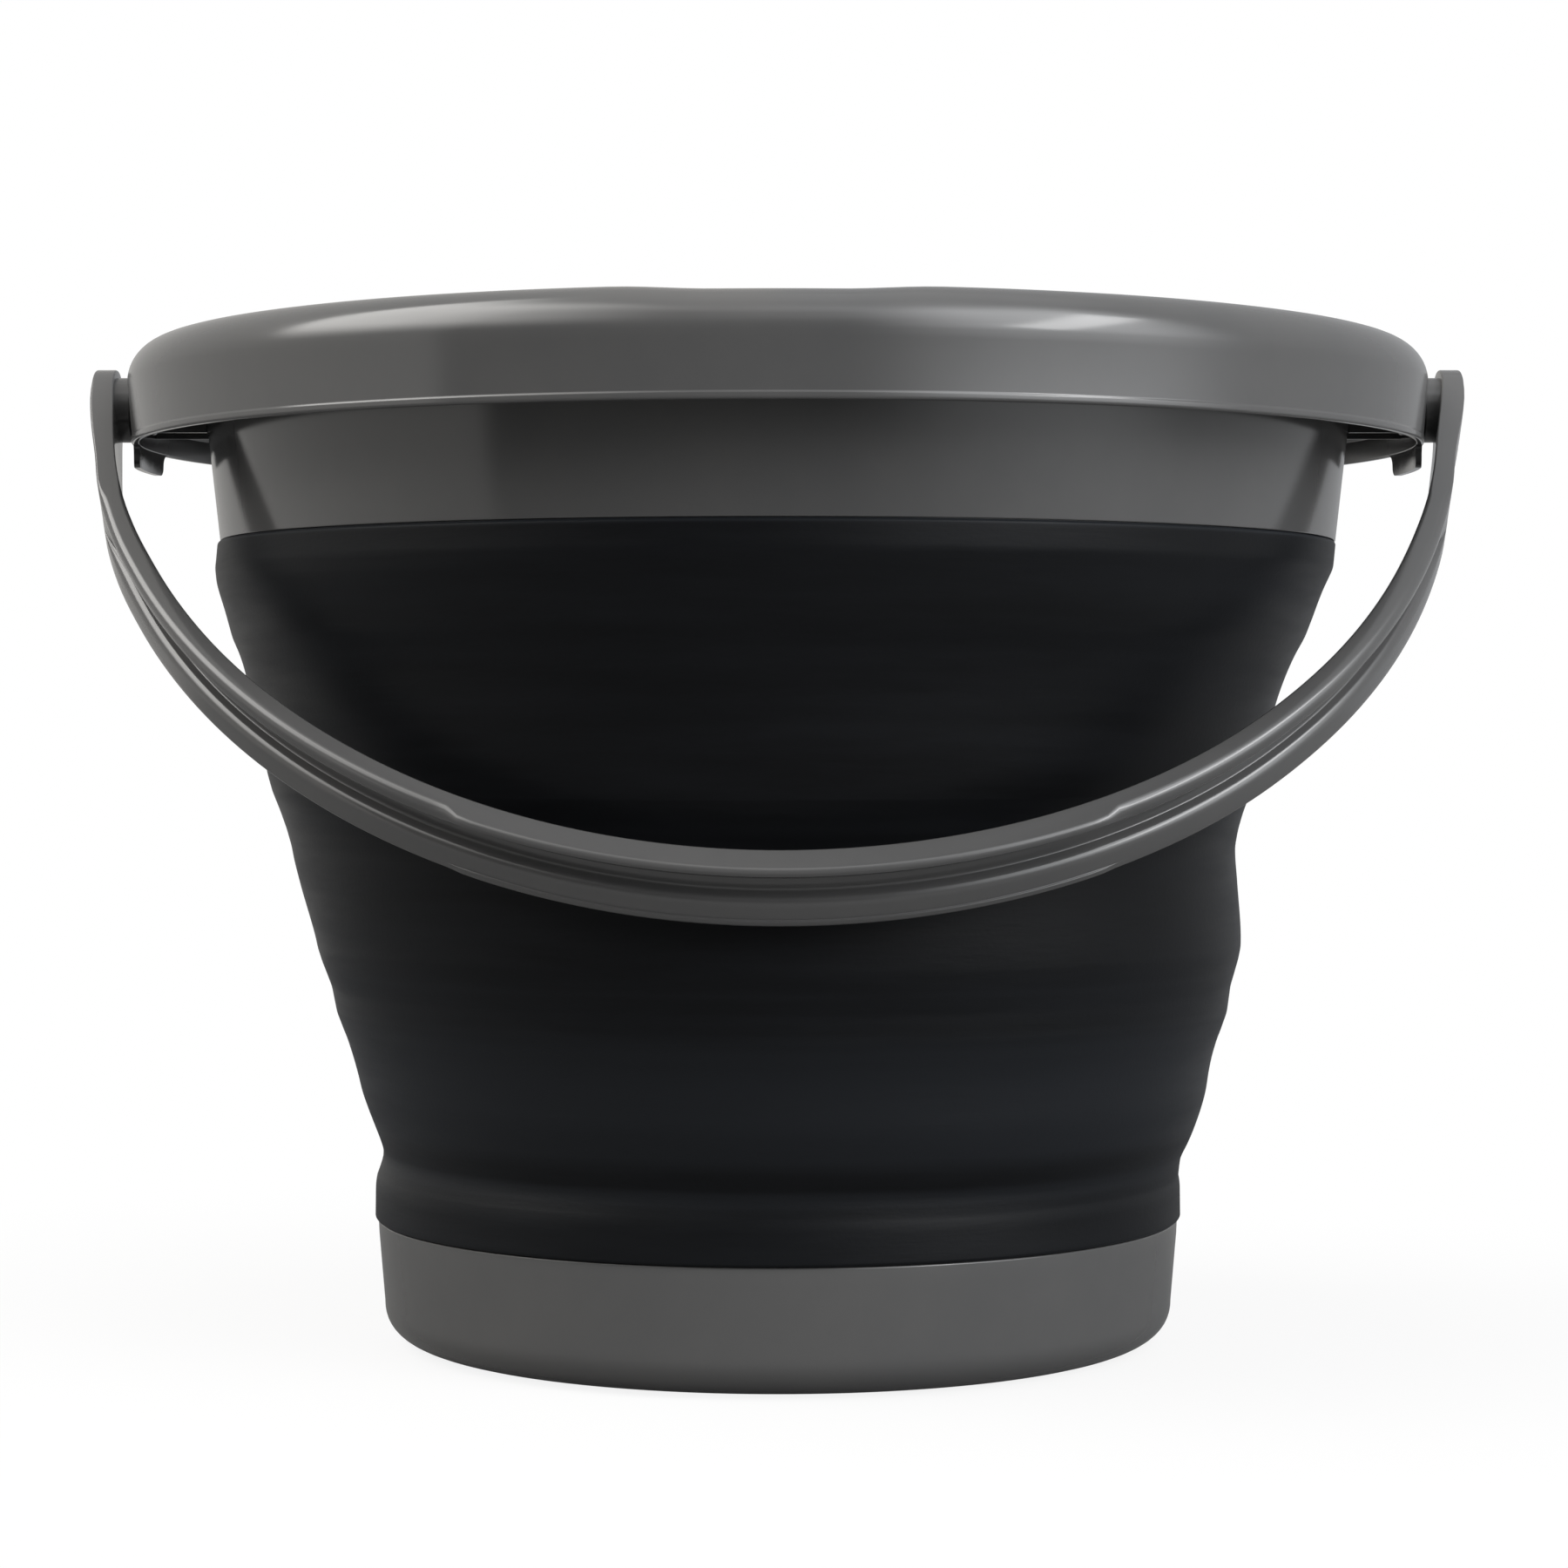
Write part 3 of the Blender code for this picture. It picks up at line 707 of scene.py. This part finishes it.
def makeRimShell():
    # over the crown and down the skirt, up inside it and under the crown, down the collar and up its inside
    shoulder = rim["shoulder"]
    wall = rim["wall"]
    soft = rim["edgeSoftness"]
    fine = rim["fineSoftness"]
    step = rim["stepDepth"]
    crown = rimRadius - shoulder
    level = rimTop - shoulder
    arch = shoulder - wall
    bottom = level - rim["skirtHeight"]
    skirtLow = rimRadius - rim["skirtTaper"]
    innerSkirt = skirtLow - wall
    bead = skirtLow + rim["beadDepth"]
    beadTop = bottom + rim["beadHeight"]
    stepLevel = bottom + rim["stepHeight"]
    collarTop = rimRadius - rim["collarOverhang"]
    collarLow = topCuffHigh.y - rim["collarStep"]
    collarWall = rim["collarWall"]
    flange = topCuffHigh.y - rim["flangeInset"]
    flangeBottom = rimLow.z
    flangeTop = topCuffHigh.z + rim["flangeGap"]
    skirtIn, skirtDown = rim["skirtStart"]
    beadUpper, beadLower = rim["beadSoftness"]
    blend = rim["beadBlend"]
    footIn, footSoft = rim["innerFoot"]
    stepLow, stepHigh = rim["stepDrafts"]
    collarIn, collarDown = rim["collarStart"]
    bendUp, bendSoft = rim["collarBend"]
    middle = (crown, level)
    outline = arcPoints(middle, shoulder, shoulder, 90, 0, rim["crownSteps"])
    outline += softened([(rimRadius - skirtIn, level - skirtDown, 0), (skirtLow, beadTop + blend, beadUpper),
                         (bead, beadTop - blend, beadLower), (bead, bottom + soft, soft),
                         (bead - rim["beadFoot"], bottom, soft), (innerSkirt + footIn, bottom, footSoft),
                         (innerSkirt + stepLow, stepLevel - step, fine),
                         (innerSkirt - step, stepLevel + step, fine),
                         (innerSkirt - step + stepHigh, level, 0)], 4)
    outline += arcPoints(middle, arch, arch, rim["archStart"], 90, rim["archSteps"])
    outline += arcPoints(middle, crown - collarTop, arch, 90, 180, rim["archSteps"])[1:]
    outline += softened([(collarTop - collarIn, level - collarDown, 0), (collarLow, flangeTop, collarIn),
                         (flange, flangeTop, 0), (flange, flangeBottom, fine),
                         (flange - rim["flangeWall"], flangeBottom, soft),
                         (collarLow - collarWall, flangeTop + bendUp, bendSoft),
                         (collarTop - collarWall, level, 0)], 4)
    outline += arcPoints(middle, crown - collarTop + collarWall, shoulder, *rim["innerCrownArc"],
                         rim["innerCrownSteps"])
    return turnedPiece("rimShell", outline, rim["segments"])


def lowerPourDip(piece):
    # weights painted round the front of the crown, then pressed down
    level = rimTop - rim["shoulder"]
    halfWidth = rim["dipHalfWidth"]
    dip = piece.vertex_groups.new(name="pourDip")
    for vertex in piece.data.vertices:
        place = vertex.co
        if place.y < 0 and abs(place.x) < halfWidth and place.z > level:
            across = smoothStep((1 - abs(place.x) / halfWidth) * rim["dipEase"])
            dip.add([vertex.index], across * smoothStep((place.z - level) / rim["shoulder"]), "REPLACE")
    applyModifier(piece, "DISPLACE", direction="Z", mid_level=0, strength=-rim["dipDepth"],
                  vertex_group="pourDip")
    piece.vertex_groups.clear()


def makeTab(side):
    # a plate with rounded lower corners and flared upper ones, kept to the skirt's curve by a tube
    bottom = rimTop - rim["shoulder"] - rim["skirtHeight"]
    half = pivotTab["width"] / 2
    flare = pivotTab["fillet"]
    low = bottom - pivotTab["drop"]
    near, far = rimRadius - pivotTab["plateInside"], rimRadius + pivotTab["plateOutside"]
    plate = blockAt("tabPlate", (side * near, -half - flare, low),
                    (side * far, half + flare, bottom + pivotTab["overlap"]))
    for end in (-1, 1):
        cutAcross(plate, (side * rimRadius, end * (half + flare), bottom - flare), flare,
                  pivotTab["filletDepth"], pivotTab["filletSegments"])
        past = half + flare + pivotTab["sidePast"]
        cutter = blockAt("sideCutter", (0, end * half, low - pivotTab["sideBelow"]),
                         (side * pivotTab["sideReach"], end * past, bottom - flare))
        joinOrCut(plate, cutter, "DIFFERENCE")
    bevelEdges(plate, lambda a, b: same(a.z, low) and same(b.z, low) and same(a.y, b.y)
               and same(abs(a.y), half, 0.1 * mm), pivotTab["rounding"])
    outer = rimRadius - rim["skirtTaper"] - pivotTab["inset"]
    inner = outer - pivotTab["wall"]
    tubeLow, tubeHigh = low - pivotTab["tubeBelow"], bottom + pivotTab["tubeAbove"]
    tube = turnedPiece("tabTube", [(outer, tubeLow), (outer, tubeHigh), (inner, tubeHigh), (inner, tubeLow)],
                       rim["segments"])
    joinOrCut(plate, tube, "INTERSECT")
    return plate


def makeRib(side, end):
    # an upright plate under the crown, its top rounded to end inside the crown's wall
    low = rimTop - rim["shoulder"] - rim["skirtHeight"] + rim["ribLift"]
    top = rimTop - rim["ribTop"]
    inner = rimRadius - rim["collarOverhang"] - rim["ribInner"]
    outer = rimRadius - rim["ribOuter"]
    rib = blockAt("rib", (side * inner, end * rim["ribOffset"], low),
                  (side * outer, end * (rim["ribOffset"] + rim["ribWall"]), top))
    bevelEdges(rib, lambda a, b: same(a.z, top) and same(b.z, top) and same(a.x, b.x),
               (outer - inner) / 2 - rim["ribFlat"], rim["ribSteps"])
    return rib


def makeRim():
    piece = makeRimShell()
    lowerPourDip(piece)
    for side in (-1, 1):
        joinOrCut(piece, makeTab(side), "UNION")
        for end in (-1, 1):
            joinOrCut(piece, makeRib(side, end), "UNION")
        cutAcross(piece, (side * rimRadius, 0, pivotLevel), rim["holeRadius"], rim["holeDepth"],
                  rim["holeSegments"])
    smoothShade(piece)
    piece.name = "rimAndCollar"
    finishPiece(piece, plastic, ["rim"], "rim")


makeRim()


# Bail handle: one section drawn along an ellipse that leans forward from the pivots

bail = {
    "tilt": 47.75,
    "endSteps": 12,
    "endStart": 0.05,
    "arcSteps": 150,
    "extraDrop": 5.0 * mm,
    "thickness": 6.1 * mm,
    "width": 18.8 * mm,
    "innerEdge": 1.2 * mm,
    "widestEdge": 0.45,  # the most of half the width that an edge's rounding may take
    "edgeSteps": (6, 5),
    "flangeWall": 1.1 * mm,
    "padRadius": 10.2 * mm,
    "padThickness": 5.6 * mm,
    "padStep": 3.0 * mm,
    "padDome": 0.25 * mm,
    "padEdge": 0.5 * mm,
    # the drops below the pivot over which a pad becomes strap, inside, outside and at its edges
    "padInnerRun": 75 * mm,
    "padOuterRun": (3 * mm, 34 * mm),
    "padEdgeRun": (40 * mm, 48 * mm),
    "grooveStart": 40 * mm,
    "grooveRunIn": 26 * mm,
    "grooveDepth": 3.8 * mm,
    "grooveDraft": 0.04,
    "grooveFillet": 0.6 * mm,
    "shallowest": 0.01,  # the share of its depth that the groove keeps on the pads
    # the most of the groove's side that the mouth's rounding and the fillet take, and their steps
    "mouthLimit": 0.7,
    "filletLimit": 0.2,
    "mouthSteps": 8,
    "filletSteps": 4,
    "floorPoint": 0.6,
    "lipPoints": (0.15, 0.3, 0.5, 0.7, 0.85, 1),
    # the outer face on each side of the groove: its fall towards the mouth and that fall's curve, half the
    # mouth's width and its rounding, the outer edge's rounding and the rise at the grip
    "upperLip": {"fall": 1.7 * mm, "curve": 1.6, "mouth": 4.2 * mm, "rounding": 1.3 * mm, "edge": 2.0 * mm,
                 "gripRise": 1.4 * mm},
    "lowerLip": {"fall": 0.3 * mm, "curve": 1.4, "mouth": 3.8 * mm, "rounding": 2.4 * mm, "edge": 1.1 * mm,
                 "gripRise": 0.5 * mm},
    "gripEdge": 1.2 * mm,
    "gripHalfLength": 75 * mm,
    "gripRunIn": 5 * mm,
    "gripStep": ((0.12, 0.15), (0.22, 0.8), (0.42, 1)),
    "hubSegments": 64,
    "hubCentre": 0.8 * mm,
    "spacerRadius": 8.2 * mm,
    "studRadius": 4.9 * mm,
    "headRadius": 6.3 * mm,
    "headLength": 2.2 * mm,
    "headSide": 0.7 * mm,
    "headRounding": 0.4 * mm,
    "headEdge": 0.2 * mm,
    "spacerRounding": 0.6 * mm,
    "headPlay": 0.4 * mm,
    "runningGap": 0.3 * mm,
}

# How far the strap stands askew to +X in mm, by its angle round from straight down
bailSway = [(angle, sway * mm) for angle, sway in (
    (-90, 0), (-86, 0), (-82, -0.45), (-76, -1.1), (-70, -0.8), (-64, -0.05), (-50, 0.75), (-34, 1.3),
    (-18, 1.1), (0, 0.7), (20, 1.15), (36, 0.75), (45, 0.2), (54, 0.05), (68, -0.1), (76, -0.1), (83, -0.8),
    (90, 0))]


def bailPlaces():
    # (reach along X, drop below the pivot, outward direction), from one pad's top to the other's
    span = bailHigh.x - bail["padStep"] - bail["thickness"] / 2
    depth = span + bail["extraDrop"]
    places = []
    for step in range(bail["endSteps"]):
        angle = pi / 2 * (1 - (step + bail["endStart"]) / bail["endSteps"])
        places.append((span, -bail["padRadius"] * sin(angle), Vector((1, 0))))
    half = bail["arcSteps"] // 2
    for step in range(half):
        angle = pi / 2 * (1 - step / half)
        out = Vector((sin(angle) / span, cos(angle) / depth)).normalized()
        places.append((span * sin(angle), depth * cos(angle), out))
    mirrored = [(-reach, drop, Vector((-out.x, out.y))) for reach, drop, out in reversed(places)]
    return places + [(0, depth, Vector((0, 1)))] + mirrored


def lipLine(lip, half, foot, opening):
    # from the groove's middle to the raised edge: bottom, fillet, upright side, rounded mouth and sloped lip
    share = min(1, half * 2 / bail["width"])
    mouth = lip["mouth"] * share
    fall = lip["fall"] * opening
    depth = bail["grooveDepth"] * opening
    lean = atan2(fall * lip["curve"], foot - mouth)
    rounding = min(lip["rounding"] * share, (depth - fall) * bail["mouthLimit"])
    fillet = min(bail["grooveFillet"] * share, (depth - fall) * bail["filletLimit"])
    inside = mouth - rounding * (1 - sin(lean))
    foldIn = inside - bail["grooveDraft"] * depth - fillet
    top = rounding * (1 - cos(lean)) - fall
    line = [(0, -depth), (foldIn * bail["floorPoint"], -depth)]
    line += arcPoints((foldIn, fillet - depth), fillet, fillet, -90, 0, bail["filletSteps"])
    for step in range(bail["mouthSteps"] + 1):
        angle = pi / 2 + (lean - pi / 2) * step / bail["mouthSteps"]
        line.append((inside + rounding * (1 - sin(angle)), top - rounding * (1 - cos(angle))))
    for part in bail["lipPoints"]:
        line.append((mouth + (foot - mouth) * part, -fall * (1 - part) ** lip["curve"]))
    return line


def halfSection(lip, half, outer, inner, opening, grip, edgeShare):
    # one half of the section, from the groove's middle out and round to the inner face
    rise = lip["gripRise"] * grip
    padEdge = bail["padEdge"]
    widest = half * bail["widestEdge"]
    outerSteps, innerSteps = bail["edgeSteps"]
    strapEdge = lip["edge"] + (bail["gripEdge"] - lip["edge"]) * grip
    edge = min(padEdge + (strapEdge - padEdge) * edgeShare, widest)
    innerEdge = min(padEdge + (bail["innerEdge"] - padEdge) * edgeShare, widest)
    foot = half - edge - bail["flangeWall"] * min(1, half * 2 / bail["width"])
    points = [(across, outer + outward) for across, outward in lipLine(lip, half, foot, opening)]
    points += [(foot + across * rise, outer + up * rise) for across, up in bail["gripStep"]]
    points += arcPoints((half - edge, outer + rise - edge), edge, edge, 90, 0, outerSteps)
    points.append((half, (outer + inner) / 2))
    points += arcPoints((half - innerEdge, inner + innerEdge), innerEdge, innerEdge, 0, -90, innerSteps)
    points.append((half / 2, inner))
    return points


def edgeInset(distance):
    # how far a face falls away near its rounded edge
    rounding = bail["padEdge"]
    if distance >= rounding:
        return 0
    return rounding - sqrt(max(rounding ** 2 - (rounding - max(distance, 0)) ** 2, 0))


def fallAway(across, above, outward, outer, inner):
    # near the pad's round end both faces curve in to its rim
    inset = edgeInset(bail["padRadius"] - hypot(across, above))
    if outward > (outer + inner) / 2:
        return min(outward, outer - inset)
    return max(outward, inner + inset)


def strapSection(reach, drop):
    # the whole section: the half above the groove, then the half below it
    halfStrap = bail["thickness"] / 2
    span = bailHigh.x - bail["padStep"] - halfStrap
    padOuter = bailHigh.x - bail["padDome"] - span
    padInner = padOuter + bail["padDome"] - bail["padThickness"]
    innerShare = 1 - (1 - min(max(drop / bail["padInnerRun"], 0), 1)) ** 2
    inner = padInner - (halfStrap + padInner) * innerShare
    outerStart, outerEnd = bail["padOuterRun"]
    outerShare = smoothStep((drop - outerStart) / (outerEnd - outerStart))
    outer = padOuter + (halfStrap - padOuter) * outerShare
    half = bail["padRadius"] + (bail["width"] / 2 - bail["padRadius"]) * innerShare
    above = min(drop, 0)
    if above:
        half = sqrt(max(bail["padRadius"] ** 2 - above ** 2, 0))
    opening = max(smoothStep((drop - bail["grooveStart"]) / bail["grooveRunIn"]), bail["shallowest"])
    grip = smoothStep((bail["gripHalfLength"] - abs(reach)) / bail["gripRunIn"])
    edgeStart, edgeEnd = bail["padEdgeRun"]
    edgeShare = smoothStep((drop - edgeStart) / (edgeEnd - edgeStart))
    upper, lower = [halfSection(bail[name], half, outer, inner, opening, grip, edgeShare)
                    for name in ("upperLip", "lowerLip")]
    points = upper + [(0, inner)] + [(-across, outward) for across, outward in reversed(lower[1:])]
    if above:
        points = [(across, fallAway(across, above, outward, outer, inner)) for across, outward in points]
    # only the outer face is domed
    dome = bail["padDome"] * (1 - outerShare)
    domedFrom = outer - 0.1 * mm
    return [(across, outward + dome * (1 - (across / half) ** 2) * (outward > domedFrom))
            for across, outward in points]


def bailPoint(reach, fall, across):
    tilt = radians(bail["tilt"])
    return Vector((reach, -fall * sin(tilt) - across * cos(tilt),
                   pivotLevel - fall * cos(tilt) + across * sin(tilt)))


def drawSection(name, rings):
    # a filled ring extruded place by place, each new ring set to its own section
    deselectAll()
    bpy.ops.mesh.primitive_circle_add(vertices=len(rings[0]), radius=1, fill_type="NGON")
    piece = newPiece(name)
    numbers = piece.data.attributes.new("number", "INT", "POINT")
    for index, (vertex, place) in enumerate(zip(piece.data.vertices, rings[0])):
        vertex.co = place
        numbers.data[index].value = index
    bpy.ops.object.mode_set(mode="EDIT")
    bpy.ops.mesh.select_mode(type="FACE")
    bpy.ops.mesh.select_all(action="SELECT")
    for ring in rings[1:]:
        bpy.ops.mesh.extrude_region_move()
        shape = bmesh.from_edit_mesh(piece.data)
        number = shape.verts.layers.int["number"]
        face = next(face for face in shape.faces if face.select)
        for vertex in face.verts:
            vertex.co = ring[vertex[number]]
        bmesh.update_edit_mesh(piece.data)
    bpy.ops.mesh.select_all(action="SELECT")
    bpy.ops.mesh.remove_doubles(threshold=0.002 * mm)
    bpy.ops.mesh.normals_make_consistent(inside=False)
    bpy.ops.object.mode_set(mode="OBJECT")
    piece.data.attributes.remove(piece.data.attributes["number"])
    return piece


def makeHub(side):
    # spacer disc, stud and snap head, turned about the pivot axis
    stud = bail["studRadius"]
    head = bail["headRadius"]
    spacer = bail["spacerRadius"]
    face = rimRadius + bail["runningGap"]
    root = bailHigh.x - bail["padThickness"] / 2
    skirtInside = rimRadius - rim["skirtTaper"] - rim["wall"]
    headFace = sqrt(skirtInside ** 2 - head ** 2) - bail["runningGap"] - bail["headPlay"]
    headEnd = headFace - bail["headLength"]
    rounding = bail["headRounding"]
    outline = softened([(bail["hubCentre"], headEnd, 0), (stud, headEnd, rounding),
                        (head, headFace - bail["headSide"], rounding), (head, headFace, bail["headEdge"]),
                        (stud, headFace, 0), (stud, face, 0), (spacer, face, bail["spacerRounding"]),
                        (spacer, root, 0)], 4)
    piece = turnedPiece("hub", outline, bail["hubSegments"], closed=False)
    piece.rotation_euler = (0, side * pi / 2, 0)
    piece.location = (0, 0, pivotLevel)
    applyPlace(piece)
    return piece


def makeBail():
    rings = []
    for reach, drop, out in bailPlaces():
        sway = smoothTable(bailSway, degrees(atan2(reach, max(drop, 0))))
        rings.append([bailPoint(reach + sway + out.x * outward, drop + out.y * outward, across)
                      for across, outward in strapSection(reach, drop)])
    piece = drawSection("bailHandle", rings)
    for side in (-1, 1):
        joinOrCut(piece, makeHub(side), "UNION")
    smoothShade(piece)
    finishPiece(piece, plastic, ["bail"], "bail")


makeBail()


# Studio: a pale floor, surroundings that the camera sees white, with soft patches of light, and one strip

floorLook = {
    "radius": 0.65,
    "segments": 64,
    "seenColor": (0.85, 0.85, 0.85, 1),
    "bounceColor": (0.20, 0.20, 0.20, 1),
    "roughness": 0.9,
    # how white it looks near the object, and the distances between which it turns all white
    "white": 0.87,
    "fade": (0.16, 0.36),
    "mirror": 0.04,
}

# Angles in degrees: azimuth from the camera's side, -Y, to the right, and elevation from level up
surroundings = {
    "opening": 0.08,
    "leftWall": 0.55,
    "leftEdge": (-59.5, -57.5),
    "rightWall": 0.38,
    "rightEdge": (12, 60),
    "ceiling": 0.66,
    "ceilingEdge": (42, 66),
    # towards the floor both walls fade to these shares
    "wallFoot": (-18, -8),
    "leftFoot": 0.3,
    "rightFoot": 0.7,
    # the patches: radiance, then the ramps up and down in azimuth and in elevation
    "leftLight": (4.2, (-104, -98), (-78, -20), (13, 37), (58, 72)),
    "rightLight": (3.0, (10, 42), (60, 90), (-16, 18), (46, 66)),
    "frontLight": (0.45, (-40, 10), (50, 90), (18, 40), (60, 80)),
    # the left patch's outer edge leans out by so many degrees for each one above the second number
    "leftSlant": (0.6, 26),
    "leftTint": (1.0, 0.985, 0.955, 1),
    "rightTint": (0.965, 0.98, 1.0, 1),
    "tintRun": (-20, 20),
}

stripLight = {
    "azimuth": 52,
    "elevation": 29,
    "distance": 1.5,
    "aim": (0, 0, 0.15),
    "width": 0.26,
    "height": 1.0,
    "turn": -35,
    "radiance": 4.2,
}

camera = {
    "lens": 89.0,
    "sensor": 36,
    "place": (1.55 * mm, -988 * mm, 157.6 * mm),
    "downward": 0.99,
}


def makeFloor():
    # white to the camera with some of the object's shadow, and a mid grey to the light that it throws back
    deselectAll()
    bpy.ops.mesh.primitive_circle_add(vertices=floorLook["segments"], radius=floorLook["radius"],
                                      fill_type="NGON")
    floor = newPiece("floor")
    material, tree, shader, place = newMaterial("paleFloor")
    rays = tree.nodes.new("ShaderNodeLightPath")
    color = mixColor(tree, rays.outputs["Is Camera Ray"], floorLook["bounceColor"], floorLook["seenColor"])
    tree.links.new(color, shader.inputs["Base Color"])
    shader.inputs["Roughness"].default_value = floorLook["roughness"]
    shader.inputs["Specular IOR Level"].default_value = 0
    away = addNode(tree, "ShaderNodeVectorMath", Vector=place)
    away.operation = "LENGTH"
    whiteness = remap(tree, away.outputs["Value"], *floorLook["fade"], floorLook["white"])
    seen = mathNode(tree, "ADD", rays.outputs["Is Camera Ray"], rays.outputs["Is Transmission Ray"])
    white = mathNode(tree, "ADD", mathNode(tree, "MULTIPLY", seen, whiteness),
                     mathNode(tree, "MULTIPLY", rays.outputs["Is Glossy Ray"], floorLook["mirror"]))
    glow = addNode(tree, "ShaderNodeEmission", Color=(1, 1, 1, 1), Strength=1.0)
    mix = addNode(tree, "ShaderNodeMixShader")
    for index, part in enumerate((white, shader.outputs[0], glow.outputs[0])):
        tree.links.new(part, mix.inputs[index])
    tree.links.new(mix.outputs[0], tree.nodes["Material Output"].inputs["Surface"])
    floor.data.materials.append(material)


def lightPatch(tree, azimuth, elevation, patch, slant=None):
    # a patch with soft edges; a slanted one dims evenly towards its inner end
    radiance, start, end, low, high = patch
    if slant:
        above = mathNode(tree, "SUBTRACT", elevation, slant[1])
        outer = mathNode(tree, "ADD", azimuth, mathNode(tree, "MULTIPLY", above, slant[0]))
        rise = softRamp(tree, outer, *start)
        fall = remap(tree, azimuth, *end, 1.0, 0.0)
    else:
        rise = softRamp(tree, azimuth, *start)
        fall = softRamp(tree, azimuth, *end, 1.0, 0.0)
    across = mathNode(tree, "MULTIPLY", rise, fall)
    upright = mathNode(tree, "MULTIPLY", softRamp(tree, elevation, *low),
                       softRamp(tree, elevation, *high, 1.0, 0.0))
    return mathNode(tree, "MULTIPLY", mathNode(tree, "MULTIPLY", across, upright), radiance)


def makeWorld():
    look = surroundings
    world = bpy.data.worlds.new("studioWorld")
    bpy.context.scene.world = world
    world.use_nodes = True
    tree = world.node_tree
    background = tree.nodes["Background"]
    direction = tree.nodes.new("ShaderNodeTexCoord").outputs["Generated"]
    parts = addNode(tree, "ShaderNodeSeparateXYZ", Vector=direction).outputs
    towards = mathNode(tree, "MULTIPLY", parts["Y"], -1)
    azimuth = mathNode(tree, "DEGREES", mathNode(tree, "ARCTAN2", parts["X"], towards))
    elevation = mathNode(tree, "DEGREES", mathNode(tree, "ARCSINE", parts["Z"]))
    left = remap(tree, azimuth, *look["leftEdge"], look["leftWall"] - look["opening"], 0.0)
    leftFoot = softRamp(tree, elevation, *look["wallFoot"], look["leftFoot"])
    right = softRamp(tree, azimuth, *look["rightEdge"], 0.0, look["rightWall"])
    rightFoot = softRamp(tree, elevation, *look["wallFoot"], look["rightFoot"])
    walls = mathNode(tree, "ADD", mathNode(tree, "MULTIPLY", left, leftFoot),
                     mathNode(tree, "MULTIPLY", right, rightFoot))
    ceiling = softRamp(tree, elevation, *look["ceilingEdge"], 0.0, look["ceiling"])
    plain = mathNode(tree, "MAXIMUM", mathNode(tree, "ADD", walls, look["opening"]), ceiling)
    leftLight = lightPatch(tree, azimuth, elevation, look["leftLight"], look["leftSlant"])
    rightLight = lightPatch(tree, azimuth, elevation, look["rightLight"])
    frontLight = lightPatch(tree, azimuth, elevation, look["frontLight"])
    level = mathNode(tree, "ADD", mathNode(tree, "ADD", plain, frontLight),
                     mathNode(tree, "ADD", leftLight, rightLight))
    tint = mixColor(tree, softRamp(tree, azimuth, *look["tintRun"]), look["leftTint"], look["rightTint"])
    rays = tree.nodes.new("ShaderNodeLightPath")
    seen = mathNode(tree, "ADD", rays.outputs["Is Camera Ray"], rays.outputs["Is Transmission Ray"])
    tree.links.new(mathNode(tree, "MAXIMUM", level, seen), background.inputs["Strength"])
    tree.links.new(mixColor(tree, seen, tint, (1, 1, 1, 1)), background.inputs["Color"])


def makeStrip():
    # a narrow soft box that draws the bright line on the rim
    around, lift = radians(stripLight["azimuth"]), radians(stripLight["elevation"])
    away = Vector((sin(around) * cos(lift), -cos(around) * cos(lift), sin(lift)))
    turn = Quaternion((0, 0, 1), radians(stripLight["turn"]))
    deselectAll()
    bpy.ops.object.light_add(type="AREA", location=Vector(stripLight["aim"]) + away * stripLight["distance"])
    strip = bpy.context.object
    strip.name = "stripLight"
    strip.rotation_euler = (away.to_track_quat("Z", "Y") @ turn).to_euler()
    strip.data.shape = "RECTANGLE"
    strip.data.size = stripLight["width"]
    strip.data.size_y = stripLight["height"]
    strip.data.energy = stripLight["radiance"] * pi * stripLight["width"] * stripLight["height"]
    strip.visible_camera = False


def makeCamera():
    deselectAll()
    bpy.ops.object.camera_add(location=camera["place"], rotation=(radians(90 - camera["downward"]), 0, 0))
    view = bpy.context.object
    view.name = "productCamera"
    view.data.lens = camera["lens"]
    view.data.sensor_width = camera["sensor"]
    bpy.context.scene.camera = view


makeFloor()
makeWorld()
makeStrip()
makeCamera()
bpy.context.scene.view_settings.view_transform = "Standard"
print("studio ready")
